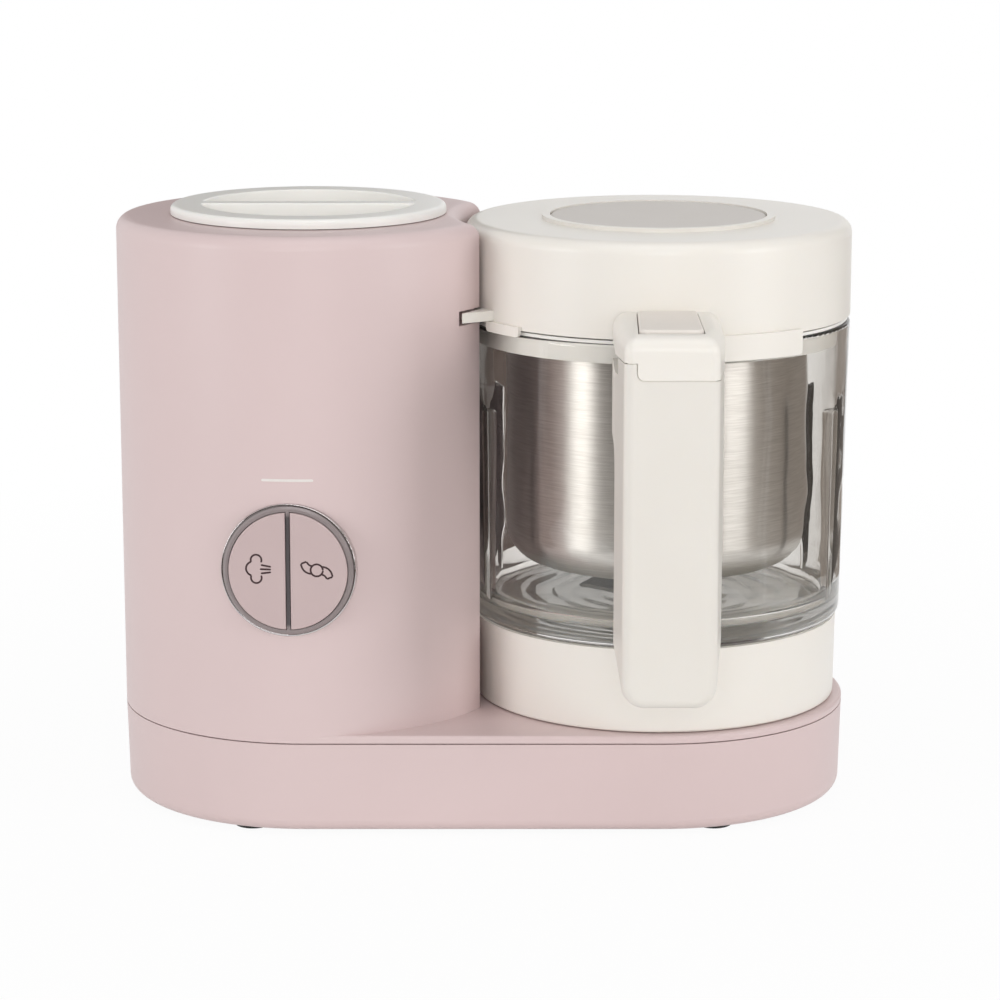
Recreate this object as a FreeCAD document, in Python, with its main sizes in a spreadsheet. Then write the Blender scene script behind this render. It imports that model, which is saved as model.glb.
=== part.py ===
import FreeCAD, Part
import math
import os
import Sketcher
from FreeCAD import Vector

# Counter-top steam cooker and blender. Millimetres, Z up, front towards -Y, standing on Z = 0.

doc = FreeCAD.newDocument("food_maker")

# Driving dimensions
SIZES = {
    # layout
    "axis_overlap": 14.5,
    "run_gap": 0.4,
    "press_gap": 0.05,
    # tower and deck
    "tower_r": 79,
    "tower_top": 243.8,
    "tower_edge": 5.5,
    "housing_wall": 2.4,
    "deck_z": 42.4,
    "seam_z": 39.4,
    "seam_gap": 0.5,
    "deck_edge": 1.4,
    "bite_gap": 2,
    "bite_edge": 1.2,
    "boss_r": 4.5,
    "boss_in": 10,
    "boss_web": 5.8,
    "boss_rise": 18,
    # tongue notch in the tower
    "notch_under": 1.3,
    "notch_rise": 6,
    "notch_deep": 9,
    "notch_front": 13,
    "notch_back": 5,
    "notch_margin": 3,
    "notch_backing": 7.6,
    "notch_inward": 13.4,
    "interlock_deep": 7,
    "interlock_long": 16,
    # base tray and feet
    "foot_height": 2,
    "foot_r": 8,
    "foot_sink": 1,
    "foot_edge": 1.2,
    "foot_x": 22,
    "foot_y": 60,
    "tray_draft_angle": 1.4,
    "tray_edge": 5,
    "tray_floor": 2.6,
    "screw_r": 1.8,
    "screw_head_r": 3.4,
    "screw_head": 2,
    "screw_long": 14,
    "screw_seat": 6,
    "vent_long": 26,
    "vent_wide": 3,
    "vent_step": 8,
    "gland_r": 6,
    "gland_bore": 3.4,
    "gland_z": 20,
    "gland_long": 8,
    # water tank and cap
    "neck_r": 49.6,
    "neck_wall": 3.6,
    "neck_flange_out": 4.4,
    "neck_flange": 1,
    "neck_deep": 17,
    "tank_in": 2,
    "tank_wall": 0.8,
    "tank_deep": 54.8,
    "tank_edge": 10,
    "seal_thick": 1,
    "heater_r": 28,
    "heater_tube": 3.5,
    "heater_angle": 320,
    "thermostat_r": 9,
    "thermostat_high": 8,
    "thermostat_edge": 1.5,
    "steam_rise": 11.6,
    "pipe_r": 4,
    "pipe_bore": 2.8,
    "nozzle_r": 7,
    "nozzle_proud": 1,
    "cap_over": 2.7,
    "cap_rim": 2.8,
    "cap_edge": 2.2,
    "dish_wall": 1.9,
    "dish_deep": 12.3,
    "dish_floor": 2,
    "dish_edge": 1.5,
    "dish_lip": 0.7,
    "grip_bar": 7,
    "plug_long": 5,
    "plug_wall": 3,
    "cap_seal_thick": 2.2,
    "cap_seal_wide": 4,
    # control panel
    "panel_angle": -3.8,
    "panel_z": 111,
    "bezel_r": 27,
    "bezel_wall": 0.9,
    "bezel_proud": 0.8,
    "bezel_edge": 0.35,
    "ring_wide": 2,
    "ring_proud": 1.4,
    "ring_slope": 0.9,
    "bar_wide": 1.4,
    "button_proud": 2.2,
    "button_edge": 0.6,
    "button_deep": 9,
    "button_gap": 0.3,
    "button_travel": 1.5,
    "board_back": 14,
    "board_thick": 1.6,
    "carrier_wall": 2,
    "switch_side": 6,
    "switch_apart": 11,
    # motor and drive
    "motor_r": 31,
    "motor_high": 66,
    "motor_bell": 8,
    "motor_bearing_r": 9,
    "motor_slot": 3,
    "motor_boss_r": 9,
    "mount_screw_ring": 20,
    "mount_z": 56,
    "mount_thick": 3,
    "mount_r": 42,
    "leg_r": 5,
    "leg_ring_r": 35,
    "motor_shaft_r": 3,
    "fan_r": 27,
    "fan_high": 6,
    "fan_hub_r": 8,
    "fan_web": 1.2,
    "pulley_z": 13,
    "pulley_wide": 11,
    "small_pulley_r": 8,
    "large_pulley_r": 28,
    "pulley_flange": 2,
    "pulley_lip": 1.5,
    "pulley_hole_r": 5,
    "belt_thick": 2,
    "spindle_r": 4,
    "spindle_bush_r": 8,
    "deck_boss_r": 14,
    "deck_boss_drop": 12,
    "deck_boss_rise": 2.6,
    "dog_r": 15,
    "dog_bore": 6,
    "dog_plate": 5,
    "dog_high": 8,
    "dog_angle": 50,
    # bowl
    "bowl_base_high": 34.4,
    "bowl_base_step": 1.3,
    "bowl_base_taper": 0.5,
    "bowl_base_wall": 3,
    "bowl_base_plate": 4,
    "bowl_base_edge": 1,
    "glass_taper": 2.4,
    "rim_room": 2.4,
    "glass_wall": 4.2,
    "glass_floor": 6.8,
    "glass_edge": 4,
    "glass_inner_edge": 9,
    "glass_lip": 1.4,
    "rib_r": 3.2,
    "rib_in": 3.1,
    "rib_drop": 34,
    "rib_angle": 22.5,
    "bush_r": 8.7,
    "bush_flange_r": 16,
    "bush_flange": 2.4,
    "nut_flats": 26,
    "nut_high": 5,
    "bowl_seal_wide": 18,
    "bowl_seal_inset": 9.1,
    # handle
    "handle_out": 50.5,
    "grip_deep": 22,
    "grip_back_half": 21,
    "grip_front_half": 18,
    "grip_clear": 21.4,
    "grip_bottom_rise": 15.4,
    "grip_edge": 4,
    "grip_corner": 8,
    "arm_thick": 30,
    "arm_corner": 12,
    "handle_drop": 5,
    "lip_wide": 4.4,
    "lip_long": 16,
    "lip_high": 6.6,
    "back_plate_half": 14,
    "back_plate_thick": 2.4,
    "back_plate_foot": 23,
    "back_plate_head": 16,
    "back_screw_in": 10,
    "back_screw_long": 8,
    # blade
    "blade_shaft_r": 4,
    "hub_r": 9.5,
    "hub_high": 9,
    "hub_dome": 3,
    "blade_reach": 34,
    "upper_reach": 30,
    "blade_wide": 20,
    "blade_root": 10,
    "blade_belly": 20,
    "blade_bevel": 0.7,
    "blade_step": 3.8,
    "blade_thick": 1.6,
    "blade_tilt_angle": 10,
    "blade_pitch_angle": -12,
    "blade_angle": 20,
    "blade_cross_angle": 90,
    # basket
    "rim_channel": 11.7,
    "basket_clear": 16,
    "basket_wall": 0.8,
    "basket_edge": 14,
    "hole_r": 2,
    "hole_ring_one": 18,
    "hole_ring_two": 36,
    "rim_deep": 9.6,
    "rim_gap": 1.1,
    "rim_wall": 2,
    "rim_flange_in": 1.2,
    "rim_flange": 1.2,
    # lid
    "lid_r": 79.5,
    "lid_high": 38.4,
    "lid_drop": 2,
    "lid_wall": 2.4,
    "lid_edge": 5,
    "disc_r": 44.3,
    "disc_sink": 2,
    "disc_proud": 1.1,
    "disc_edge": 0.8,
    "lid_ring_wide": 3.3,
    "lid_ring_high": 1.5,
    "liner_rise": 6.1,
    "liner_thick": 2,
    "liner_bore": 8,
    "liner_skirt_in": 2.5,
    "lid_seal_wide": 7.5,
    "lid_seal_gap": 0.6,
    "lid_seal_high": 2.2,
    "skirt_wall": 1.6,
    "skirt_corner": 1.6,
    "wing_end_angle": 312.5,
    "wing_drop": 8.6,
    "tab_start_angle": 209.5,
    "tab_end_angle": 224.6,
    "tab_drop": 2.5,
    "tongue_rise": 1.9,
    "tongue_thick": 4,
    "tongue_out": 7,
    "tongue_front": 49,
    "tongue_slant": 8,
    "beak_rise": 9.4,
    "beak_slope": 1.8,
    "beak_edge": 6,
    "lip_corner": 2.6,
    "beak_wall": 2.4,
    "key_back_half": 11.6,
    "key_front_half": 12.4,
    "key_back_gap": 3,
    "key_front_gap": 8.5,
    "key_deep": 6,
    "key_proud": 1.4,
    "key_edge": 1.2,
    "key_corner": 3,
    "key_travel": 2,
}

sheet = doc.addObject("Spreadsheet::Sheet", "dims")
for row, (alias, number) in enumerate(SIZES.items(), 1):
    sheet.set(f"A{row}", alias.replace("_", " "))
    sheet.set(f"B{row}", str(number))
    sheet.setAlias(f"B{row}", alias)
doc.recompute()


class Size:
    # A length that knows both its number and the sheet expression it comes from.

    def __init__(self, number, text):
        self.number = float(number)
        self.text = text

    def __add__(self, other):
        other = size(other)
        return Size(self.number + other.number, f"({self.text} + {other.text})")

    def __sub__(self, other):
        other = size(other)
        return Size(self.number - other.number, f"({self.text} - {other.text})")

    def __mul__(self, other):
        other = size(other)
        return Size(self.number * other.number, f"({self.text} * {other.text})")

    def __truediv__(self, other):
        other = size(other)
        return Size(self.number / other.number, f"({self.text} / {other.text})")

    def __radd__(self, other):
        return size(other) + self

    def __rsub__(self, other):
        return size(other) - self

    def __neg__(self):
        return Size(-self.number, f"(0 - {self.text})")

    def __float__(self):
        return self.number


def size(value):
    return value if isinstance(value, Size) else Size(value, str(value))


class Dims:
    # Every sheet cell as a Size, by its alias.

    def __init__(self):
        for alias in SIZES:
            setattr(self, alias, Size(sheet.get(alias), f"dims.{alias}"))


def cosine(angle):
    return Size(math.cos(math.radians(angle.number)), f"cos({angle.text})")


def sine(angle):
    return Size(math.sin(math.radians(angle.number)), f"sin({angle.text})")


def tangent(angle):
    return Size(math.tan(math.radians(angle.number)), f"tan({angle.text})")


def root(value):
    return Size(math.sqrt(value.number), f"sqrt({value.text})")


def meeting_point(gap, near_r, far_r):
    # Where a circle on the tower axis meets one on the bowl axis: along and across the line between them.
    along = (gap * gap + near_r * near_r - far_r * far_r) / (gap * 2)
    return along, root(near_r * near_r - along * along)


def swing_at(middle, half, radius):
    # Direction in degrees at which a circle leaves a straight wall that stands off the middle line.
    lean = math.degrees(math.asin(half.number / radius.number))
    return Size(middle + lean, f"({middle} + asin({half.text} / {radius.text}) / 1 deg)")


def band(inner, outer, low, high):
    return [(inner, low), (outer, low), (outer, high), (inner, high)]


d = Dims()
ZERO = size(0)
FULL_TURN = 360
FRONT = 270

# Values worked out from the driving dimensions: the plan
axis_gap = d.tower_r + d.lid_r - d.axis_overlap
handle_reach = d.lid_r + d.handle_out
tower_x = (d.tower_r - axis_gap - d.lid_r) / 2
bowl_x = tower_x + axis_gap
axis_y = (handle_reach - d.lid_r) / 2
bite_r = d.lid_r + d.bite_gap
tower_inner_r = d.tower_r - d.housing_wall
boss_across = (d.tower_r - d.boss_in) / root(size(2))
steam_wall_x = axis_gap - bite_r
nozzle_back_x = steam_wall_x - d.housing_wall * 2
corner_x, corner_y = meeting_point(axis_gap, d.tower_r, bite_r)
notch_block_x = corner_x - d.notch_deep - d.notch_backing
notch_block_y = corner_y - d.notch_inward
neck_bore = d.neck_r - d.neck_wall
neck_flange_r = d.neck_r + d.neck_flange_out
cap_r = neck_flange_r + d.cap_over
plug_r = neck_bore - d.run_gap
dish_r = plug_r - d.dish_wall
tank_r = neck_bore - d.tank_in
bush_bore = d.blade_shaft_r + d.press_gap
glass_rim_r = d.lid_r
glass_foot_r = glass_rim_r - d.glass_taper
bowl_base_r = glass_foot_r - d.bowl_base_step
bowl_base_foot_r = bowl_base_r - d.bowl_base_taper
bowl_seal_out = glass_foot_r - d.bowl_seal_inset
bowl_seal_in = bowl_seal_out - d.bowl_seal_wide
rib_ring_r = glass_foot_r - d.rib_in
rim_r = glass_rim_r - d.glass_wall - d.rim_gap
rim_flange_r = glass_rim_r - d.rim_flange_in
basket_r = rim_r - d.rim_channel
lid_seal_out = d.lid_r - d.lid_wall - d.lid_seal_gap
lid_seal_in = lid_seal_out - d.lid_seal_wide
liner_skirt_r = lid_seal_out - d.liner_skirt_in
tongue_tip_x = corner_x - axis_gap - d.tongue_out
grip_back = handle_reach - d.grip_deep
key_back = d.lid_r + d.key_back_gap
key_front = handle_reach - d.key_front_gap
skirt_in = glass_rim_r + d.run_gap
skirt_out = skirt_in + d.skirt_wall
wing_start_angle = swing_at(FRONT, d.grip_back_half + d.run_gap, skirt_in)

# and the heights
tray_top = d.seam_z - d.seam_gap
tray_floor_z = d.foot_height + d.tray_floor
tray_low_r = d.tower_r - (tray_top - d.foot_height) * tangent(d.tray_draft_angle)
tray_boss_top = d.foot_height + d.screw_seat
screw_seat_z = tray_boss_top - d.tray_floor
motor_base = d.mount_z + d.mount_thick
motor_top = motor_base + d.motor_high
pulley_top = d.pulley_z + d.pulley_wide
neck_top = d.tower_top + d.neck_flange
neck_bottom = d.tower_top - d.neck_deep
tank_flange_z = neck_bottom - d.seal_thick
tank_bottom = neck_bottom - d.tank_deep
cap_bottom = neck_top + d.run_gap
cap_top = cap_bottom + d.cap_rim
dish_z = cap_top - d.dish_deep
plug_top = dish_z - d.dish_floor
plug_bottom = plug_top - d.plug_long
deck_boss_low = d.deck_z - d.deck_boss_drop
deck_boss_top = d.deck_z + d.deck_boss_rise
drive_dog_z = deck_boss_top + d.run_gap
drive_dog_top = drive_dog_z + d.dog_plate
blade_dog_z = drive_dog_top + d.dog_high + d.run_gap
blade_dog_top = blade_dog_z + d.dog_plate
bowl_base_z = d.deck_z + d.run_gap
glass_bottom = bowl_base_z + d.bowl_base_high
base_plate_z = glass_bottom - d.bowl_base_plate
glass_floor_z = glass_bottom + d.glass_floor
hub_z = glass_floor_z + d.bush_flange + d.run_gap
basket_bottom = glass_floor_z + d.basket_clear
lid_top = d.tower_top - d.lid_drop
lid_bottom = lid_top - d.lid_high
glass_rim_z = lid_bottom - d.rim_room
rib_top = glass_rim_z - d.rib_drop
rim_flange_z = glass_rim_z + d.run_gap
rim_top = rim_flange_z + d.rim_flange
rim_bottom = rim_top - d.rim_deep
lid_seal_z = rim_top + d.run_gap
liner_z = lid_bottom + d.liner_rise
steam_z = lid_bottom + d.steam_rise
tongue_z = lid_bottom + d.tongue_rise
notch_z = tongue_z - d.notch_under
handle_top = glass_rim_z - d.handle_drop
arm_bottom = handle_top - d.arm_thick
grip_bottom = d.deck_z + d.grip_clear
back_plate_low = grip_bottom + d.back_plate_foot
back_plate_high = arm_bottom - d.back_plate_head
lip_top = handle_top + d.lip_high
beak_bottom = handle_top + d.run_gap
beak_top = lid_bottom + d.beak_rise
key_well_z = beak_top - d.key_deep - d.key_travel - d.run_gap

# and the distances of the panel's layers from the tower axis
panel_face = d.tower_r + d.bezel_proud
board_face = d.tower_r - d.board_back
board_back_face = board_face - d.board_thick
carrier_back = board_back_face - d.carrier_wall
button_face = panel_face + d.button_proud
button_back = button_face - d.button_deep
switch_face = button_back - d.button_travel - d.run_gap

# Counts of repeated features
DOGS = 3
MOUNT_SCREWS = 3
MOTOR_SLOTS = 8
FAN_VANES = 9
PULLEY_HOLES = 6
NUT_SIDES = 6
INNER_HOLES = 8
OUTER_HOLES = 16
PAIR = 2


class Drawing:
    # One sketch, drawn with points and radii that are bound to the sheet.

    def __init__(self, sketch):
        self.sketch = sketch

    def fix(self, kind, place, value):
        index = self.sketch.addConstraint(Sketcher.Constraint(kind, *place, value.number))
        self.sketch.setExpression(f"Constraints[{index}]", value.text)

    def pin(self, geometry, vertex, x, y):
        for kind, axis, value in (("DistanceX", -2, x), ("DistanceY", -1, y)):
            if value.text == "0":
                self.sketch.addConstraint(Sketcher.Constraint("PointOnObject", geometry, vertex, axis))
            else:
                self.fix(kind, (-1, 1, geometry, vertex), value)

    def polygon(self, points):
        points = [(size(x), size(y)) for x, y in points]
        count = len(points)
        lines = []
        for i, (x, y) in enumerate(points):
            x_end, y_end = points[(i + 1) % count]
            start = Vector(x.number, y.number, 0)
            end = Vector(x_end.number, y_end.number, 0)
            lines.append(self.sketch.addGeometry(Part.LineSegment(start, end), False))
        for i, line in enumerate(lines):
            follow = lines[(i + 1) % count]
            self.sketch.addConstraint(Sketcher.Constraint("Coincident", line, 2, follow, 1))
        for line, (x, y) in zip(lines, points):
            self.pin(line, 1, x, y)

    def disc(self, x, y, radius):
        x, y, radius = size(x), size(y), size(radius)
        circle = Part.Circle(Vector(x.number, y.number, 0), Vector(0, 0, 1), radius.number)
        geometry = self.sketch.addGeometry(circle, False)
        self.fix("Radius", (geometry,), radius)
        self.pin(geometry, 3, x, y)

    def box(self, left, low, right, high):
        self.polygon([(left, low), (right, low), (right, high), (left, high)])

    def arc(self, x, y, radius, start, end):
        x, y, radius = size(x), size(y), size(radius)
        circle = Part.Circle(Vector(x.number, y.number, 0), Vector(0, 0, 1), radius.number)
        geometry = self.sketch.addGeometry(Part.ArcOfCircle(circle, start, end), False)
        self.fix("Radius", (geometry,), radius)
        self.pin(geometry, 3, x, y)
        return geometry

    def ring(self, x, y, outer_r, inner_r):
        self.disc(x, y, outer_r)
        self.disc(x, y, inner_r)

    def loop(self, gap, near_r, far_r):
        # A belt line round a circle on the tower axis and one on the bowl axis.
        lean = math.asin((far_r.number - near_r.number) / gap.number)
        quarter = math.pi / 2 + lean
        near = self.arc(ZERO, ZERO, near_r, quarter, 2 * math.pi - quarter)
        far = self.arc(gap, ZERO, far_r, -quarter, quarter)
        for sign, near_end, far_end in ((1, 1, 2), (-1, 2, 1)):
            normal = Vector(-math.sin(lean), sign * math.cos(lean), 0)
            start = normal * near_r.number
            end = Vector(gap.number, 0, 0) + normal * far_r.number
            side = self.sketch.addGeometry(Part.LineSegment(start, end), False)
            self.sketch.addConstraint(Sketcher.Constraint("Tangent", near, near_end, side, 1))
            self.sketch.addConstraint(Sketcher.Constraint("Tangent", far, far_end, side, 2))

    def crescent(self, radius, gap, bite):
        # A disc on the tower axis, less a larger disc about the bowl axis.
        reach = (gap.number ** 2 + radius.number ** 2 - bite.number ** 2) / (2 * gap.number)
        half = math.acos(reach / radius.number)
        height = radius.number * math.sin(half)
        swing = math.atan2(height, gap.number - reach)
        outer = self.arc(ZERO, ZERO, radius, half, 2 * math.pi - half)
        inner = self.arc(gap, ZERO, bite, math.pi - swing, math.pi + swing)
        self.sketch.addConstraint(Sketcher.Constraint("Coincident", outer, 1, inner, 1))
        self.sketch.addConstraint(Sketcher.Constraint("Coincident", outer, 2, inner, 2))

    def sector(self, inner_r, outer_r, start, end):
        # A slice of a ring about the origin, between two angles in degrees.
        first, last = math.radians(start.number), math.radians(end.number)
        inner = self.arc(ZERO, ZERO, inner_r, first, last)
        outer = self.arc(ZERO, ZERO, outer_r, first, last)
        for vertex, angle in ((1, start), (2, end)):
            near = Vector(inner_r.number * cosine(angle).number, inner_r.number * sine(angle).number, 0)
            far = Vector(outer_r.number * cosine(angle).number, outer_r.number * sine(angle).number, 0)
            side = self.sketch.addGeometry(Part.LineSegment(near, far), False)
            self.sketch.addConstraint(Sketcher.Constraint("Coincident", side, 1, inner, vertex))
            self.sketch.addConstraint(Sketcher.Constraint("Coincident", side, 2, outer, vertex))
            self.pin_end(inner, vertex, inner_r, angle)
            self.pin_end(outer, vertex, outer_r, angle)

    def pin_end(self, arc, vertex, radius, angle):
        # The end of an arc needs one coordinate only, the one that changes faster along the arc.
        across, along = radius * cosine(angle), radius * sine(angle)
        if abs(across.number) < abs(along.number):
            self.fix("DistanceX", (-1, 1, arc, vertex), across)
        else:
            self.fix("DistanceY", (-1, 1, arc, vertex), along)


PIECES = []
CLOSE = 0.02


class Piece:
    # One sub-part: a body on the tower's or the bowl's axis, grown feature by feature.

    def __init__(self, label, x, y=axis_y, turn=None):
        self.body = doc.addObject("PartDesign::Body", label)
        self.body.Label = label
        if hasattr(self.body, "AllowCompound"):
            self.body.AllowCompound = True
        self.body.setExpression("Placement.Base.x", size(x).text)
        self.body.setExpression("Placement.Base.y", size(y).text)
        if turn is not None:
            self.body.setExpression("Placement.Rotation.Angle", turn.text)
        PIECES.append(self)

    def draw(self, plane, offset=ZERO, turn=None, tilt=None, pitch=None):
        # Turn swings an upright plane about Z, tilt leans a flat plane about Y and pitch leans it about X.
        sketch = self.body.newObject("Sketcher::SketchObject", f"{self.body.Name}_sketch")
        support = [f for f in self.body.Origin.OriginFeatures if f.Role == f"{plane}_Plane"][0]
        sketch.AttachmentSupport = [(support, "")]
        sketch.MapMode = "FlatFace"
        swing = turn or tilt or pitch
        if swing:
            axis = Vector(1, 0, 0) if pitch else Vector(0, 1, 0)
            sketch.AttachmentOffset = FreeCAD.Placement(Vector(), FreeCAD.Rotation(axis, 1))
            sketch.setExpression("AttachmentOffset.Rotation.Angle", swing.text)
        sketch.setExpression("AttachmentOffset.Base.z", offset.text)
        return Drawing(sketch)

    def feature(self, kind, drawing):
        made = self.body.newObject(f"PartDesign::{kind}", f"{self.body.Name}_{kind}".lower())
        made.Profile = drawing.sketch
        drawing.sketch.Visibility = False
        return made

    def revolve(self, points, cut=False):
        # Points are (radius, height), turned about the body's own Z axis.
        drawing = self.draw("XZ")
        drawing.polygon(points)
        made = self.feature("Groove" if cut else "Revolution", drawing)
        made.ReferenceAxis = (drawing.sketch, ["V_Axis"])
        made.Angle = FULL_TURN
        doc.recompute()
        return made

    def sweep(self, sketcher, angle):
        # Turns a drawn outline about the Z axis, part of the way round.
        drawing = self.draw("XZ")
        sketcher(drawing)
        made = self.feature("Revolution", drawing)
        made.ReferenceAxis = (drawing.sketch, ["V_Axis"])
        made.setExpression("Angle", angle.text)
        doc.recompute()

    def extrude(self, plane, low, high, sketcher, cut=False, taper=None):
        # Low and high are measured along Z for XY, along Y for XZ and along X for YZ.
        low, high = size(low), size(high)
        flipped = plane == "XZ"
        offset = high if cut != flipped else low
        drawing = self.draw(plane, -offset if flipped else offset)
        sketcher(drawing)
        made = self.feature("Pocket" if cut else "Pad", drawing)
        made.setExpression("Length", (high - low).text)
        if taper is not None:
            made.setExpression("TaperAngle", taper.text)
        doc.recompute()
        return made

    def cut(self, plane, low, high, sketcher):
        return self.extrude(plane, low, high, sketcher, cut=True)

    def around(self, feature, count):
        # Repeats a feature about the body's Z axis.
        axis = [f for f in self.body.Origin.OriginFeatures if f.Role == "Z_Axis"][0]
        pattern = self.body.newObject("PartDesign::PolarPattern", f"{self.body.Name}_around")
        pattern.Originals = [feature]
        pattern.Axis = (axis, [""])
        pattern.Angle = FULL_TURN
        pattern.Occurrences = count
        self.body.Tip = pattern
        doc.recompute()
        return pattern

    def around_all(self, count):
        # Repeats everything made so far about the body's Z axis.
        axis = [f for f in self.body.Origin.OriginFeatures if f.Role == "Z_Axis"][0]
        pattern = self.body.newObject("PartDesign::PolarPattern", f"{self.body.Name}_around")
        pattern.TransformMode = "Whole shape"
        pattern.Axis = (axis, [""])
        pattern.Angle = FULL_TURN
        pattern.Occurrences = count
        self.body.Tip = pattern
        doc.recompute()

    def edges(self, wanted):
        shape = self.body.Tip.Shape
        return [f"Edge{i}" for i, edge in enumerate(shape.Edges, 1) if wanted(edge)]

    def round(self, radius, wanted, kind="Fillet"):
        names = self.edges(wanted)
        if not names:
            raise RuntimeError(f"{self.body.Label}: no edge to round")
        base = self.body.Tip
        made = self.body.newObject(f"PartDesign::{kind}", f"{self.body.Name}_{kind}".lower())
        made.Base = (base, names)
        made.setExpression("Radius" if kind == "Fillet" else "Size", size(radius).text)
        doc.recompute()
        return made


def level_at(height, radius=None):
    # Picks edges that lie flat at one height, and at one distance from the axis where it is given.
    def wanted(edge):
        box = edge.BoundBox
        if abs(box.ZMin - float(height)) > CLOSE or abs(box.ZMax - float(height)) > CLOSE:
            return False
        if radius is None:
            return True
        spot = edge.valueAt(edge.FirstParameter)
        return abs(math.hypot(spot.x, spot.y) - float(radius)) < CLOSE
    return wanted


def upright_at(x=None, y=None):
    # Picks straight upright edges by the place where they stand.
    def wanted(edge):
        box = edge.BoundBox
        if box.XLength > CLOSE or box.YLength > CLOSE or box.ZLength < CLOSE:
            return False
        if x is not None and abs(box.XMin - float(x)) > CLOSE:
            return False
        return y is None or abs(box.YMin - float(y)) < CLOSE
    return wanted


def both(first, second):
    return lambda edge: first(edge) or second(edge)


# Main unit


def make_upper_housing():
    piece = Piece("upper_housing", tower_x)
    piece.extrude("XY", d.seam_z, d.deck_z, lambda s: s.loop(axis_gap, d.tower_r, d.tower_r))
    piece.round(d.deck_edge, level_at(d.deck_z))
    piece.extrude("XY", d.seam_z, d.tower_top, lambda s: s.crescent(d.tower_r, axis_gap, bite_r))
    piece.round(d.bite_edge, lambda e: upright_at()(e) and e.BoundBox.ZMax > float(d.deck_z) + 1)
    cavity_top = d.tower_top - d.housing_wall
    piece.cut("XY", d.seam_z, cavity_top,
              lambda s: s.crescent(tower_inner_r, axis_gap, bite_r + d.housing_wall))
    piece.round(d.tower_edge - d.housing_wall, level_at(cavity_top))
    piece.round(d.tower_edge, level_at(d.tower_top))
    piece.cut("XY", cavity_top, d.tower_top, lambda s: s.disc(0, 0, d.neck_r + d.press_gap))

    # boss that carries the spindle bush, through the deck on the bowl axis
    piece.extrude("XY", deck_boss_low, deck_boss_top, lambda s: s.disc(axis_gap, 0, d.deck_boss_r))
    piece.cut("XY", deck_boss_low, deck_boss_top,
              lambda s: s.disc(axis_gap, 0, d.spindle_bush_r + d.press_gap))

    # solid corner behind the tongue notch, then the notch
    mid_wall = d.housing_wall / 2
    mid_tower, mid_bite = d.tower_r - mid_wall, bite_r + mid_wall
    mid_x, mid_y = meeting_point(axis_gap, mid_tower, mid_bite)
    block = [
        (mid_x, -mid_y),
        (axis_gap - root(mid_bite * mid_bite - notch_block_y * notch_block_y), -notch_block_y),
        (notch_block_x, -notch_block_y),
        (notch_block_x, -root(mid_tower * mid_tower - notch_block_x * notch_block_x)),
    ]
    notch_top = notch_z + d.notch_rise
    piece.extrude("XY", notch_z - d.notch_margin, notch_top + d.notch_margin,
                  lambda s: s.polygon(block))
    piece.cut("XZ", -corner_y - d.notch_front, d.notch_back - corner_y,
              lambda s: s.box(corner_x - d.notch_deep, notch_z, corner_x + d.notch_deep, notch_top))

    # round opening for the button ring, square to the turned panel
    hole = piece.draw("XZ", turn=d.panel_angle)
    hole.disc(0, d.panel_z, d.bezel_r + d.press_gap)
    opening = piece.feature("Pocket", hole)
    opening.setExpression("Length", (d.tower_r + d.housing_wall).text)
    opening.Reversed = True
    doc.recompute()

    # steam outlet through the curved wall that faces the bowl
    piece.cut("YZ", steam_wall_x - d.housing_wall * 2, steam_wall_x + d.housing_wall,
              lambda s: s.disc(0, steam_z, d.nozzle_r + d.press_gap))

    # screw bosses: two on the tower wall, two under the deck
    for x, y, top in screw_places():
        piece.extrude("XY", tray_boss_top, top, lambda s: s.disc(x, y, d.boss_r))
    for side in (1, -1):
        web = [
            (-boss_across, boss_across * side),
            (-boss_across - d.boss_web, boss_across * side),
            (-boss_across - d.boss_web, (boss_across + d.boss_web) * side),
            (-boss_across, (boss_across + d.boss_web) * side),
        ]
        piece.extrude("XY", d.seam_z, d.seam_z + d.boss_rise, lambda s: s.polygon(web))
    for x, y, top in screw_places():
        piece.cut("XY", tray_boss_top, tray_boss_top + d.screw_long,
                  lambda s: s.disc(x, y, d.screw_r + d.press_gap))


def screw_places():
    places = []
    for side in (1, -1):
        places.append((-boss_across, boss_across * side, d.seam_z + d.boss_rise))
        places.append((axis_gap + boss_across, boss_across * side, d.deck_z - d.deck_edge))
    return places


def foot_places():
    return [(x, d.foot_y * side) for x in (-d.foot_x, axis_gap + d.foot_x) for side in (1, -1)]


def make_base_tray():
    piece = Piece("base_tray", tower_x)
    piece.extrude("XY", d.foot_height, tray_top, lambda s: s.loop(axis_gap, tray_low_r, tray_low_r),
                  taper=d.tray_draft_angle)
    piece.round(d.tray_edge, level_at(d.foot_height))
    inner_r = tray_low_r - d.housing_wall
    piece.cut("XY", tray_floor_z, tray_top, lambda s: s.loop(axis_gap, inner_r, inner_r))
    for x, y, top in screw_places():
        piece.extrude("XY", tray_floor_z, tray_boss_top, lambda s: s.disc(x, y, d.boss_r + d.screw_r))
        piece.cut("XY", d.foot_height, screw_seat_z,
                  lambda s: s.disc(x, y, d.screw_head_r + d.run_gap))
        piece.cut("XY", screw_seat_z, tray_boss_top, lambda s: s.disc(x, y, d.screw_r + d.press_gap))
    for x, y in foot_places():
        piece.cut("XY", d.foot_height, d.foot_height + d.foot_sink, lambda s: s.disc(x, y, d.foot_r))
    for step in (-2, -1, 0, 1, 2):
        centre = d.vent_step * step + axis_gap / 2
        piece.cut("XY", d.foot_height, tray_floor_z,
                  lambda s: s.box(centre - d.vent_wide / 2, -d.vent_long, centre + d.vent_wide / 2,
                                  d.vent_long))
    piece.cut("XZ", d.tower_r - d.housing_wall * 3, d.tower_r + d.housing_wall,
              lambda s: s.disc(0, d.gland_z, d.gland_r))


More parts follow.
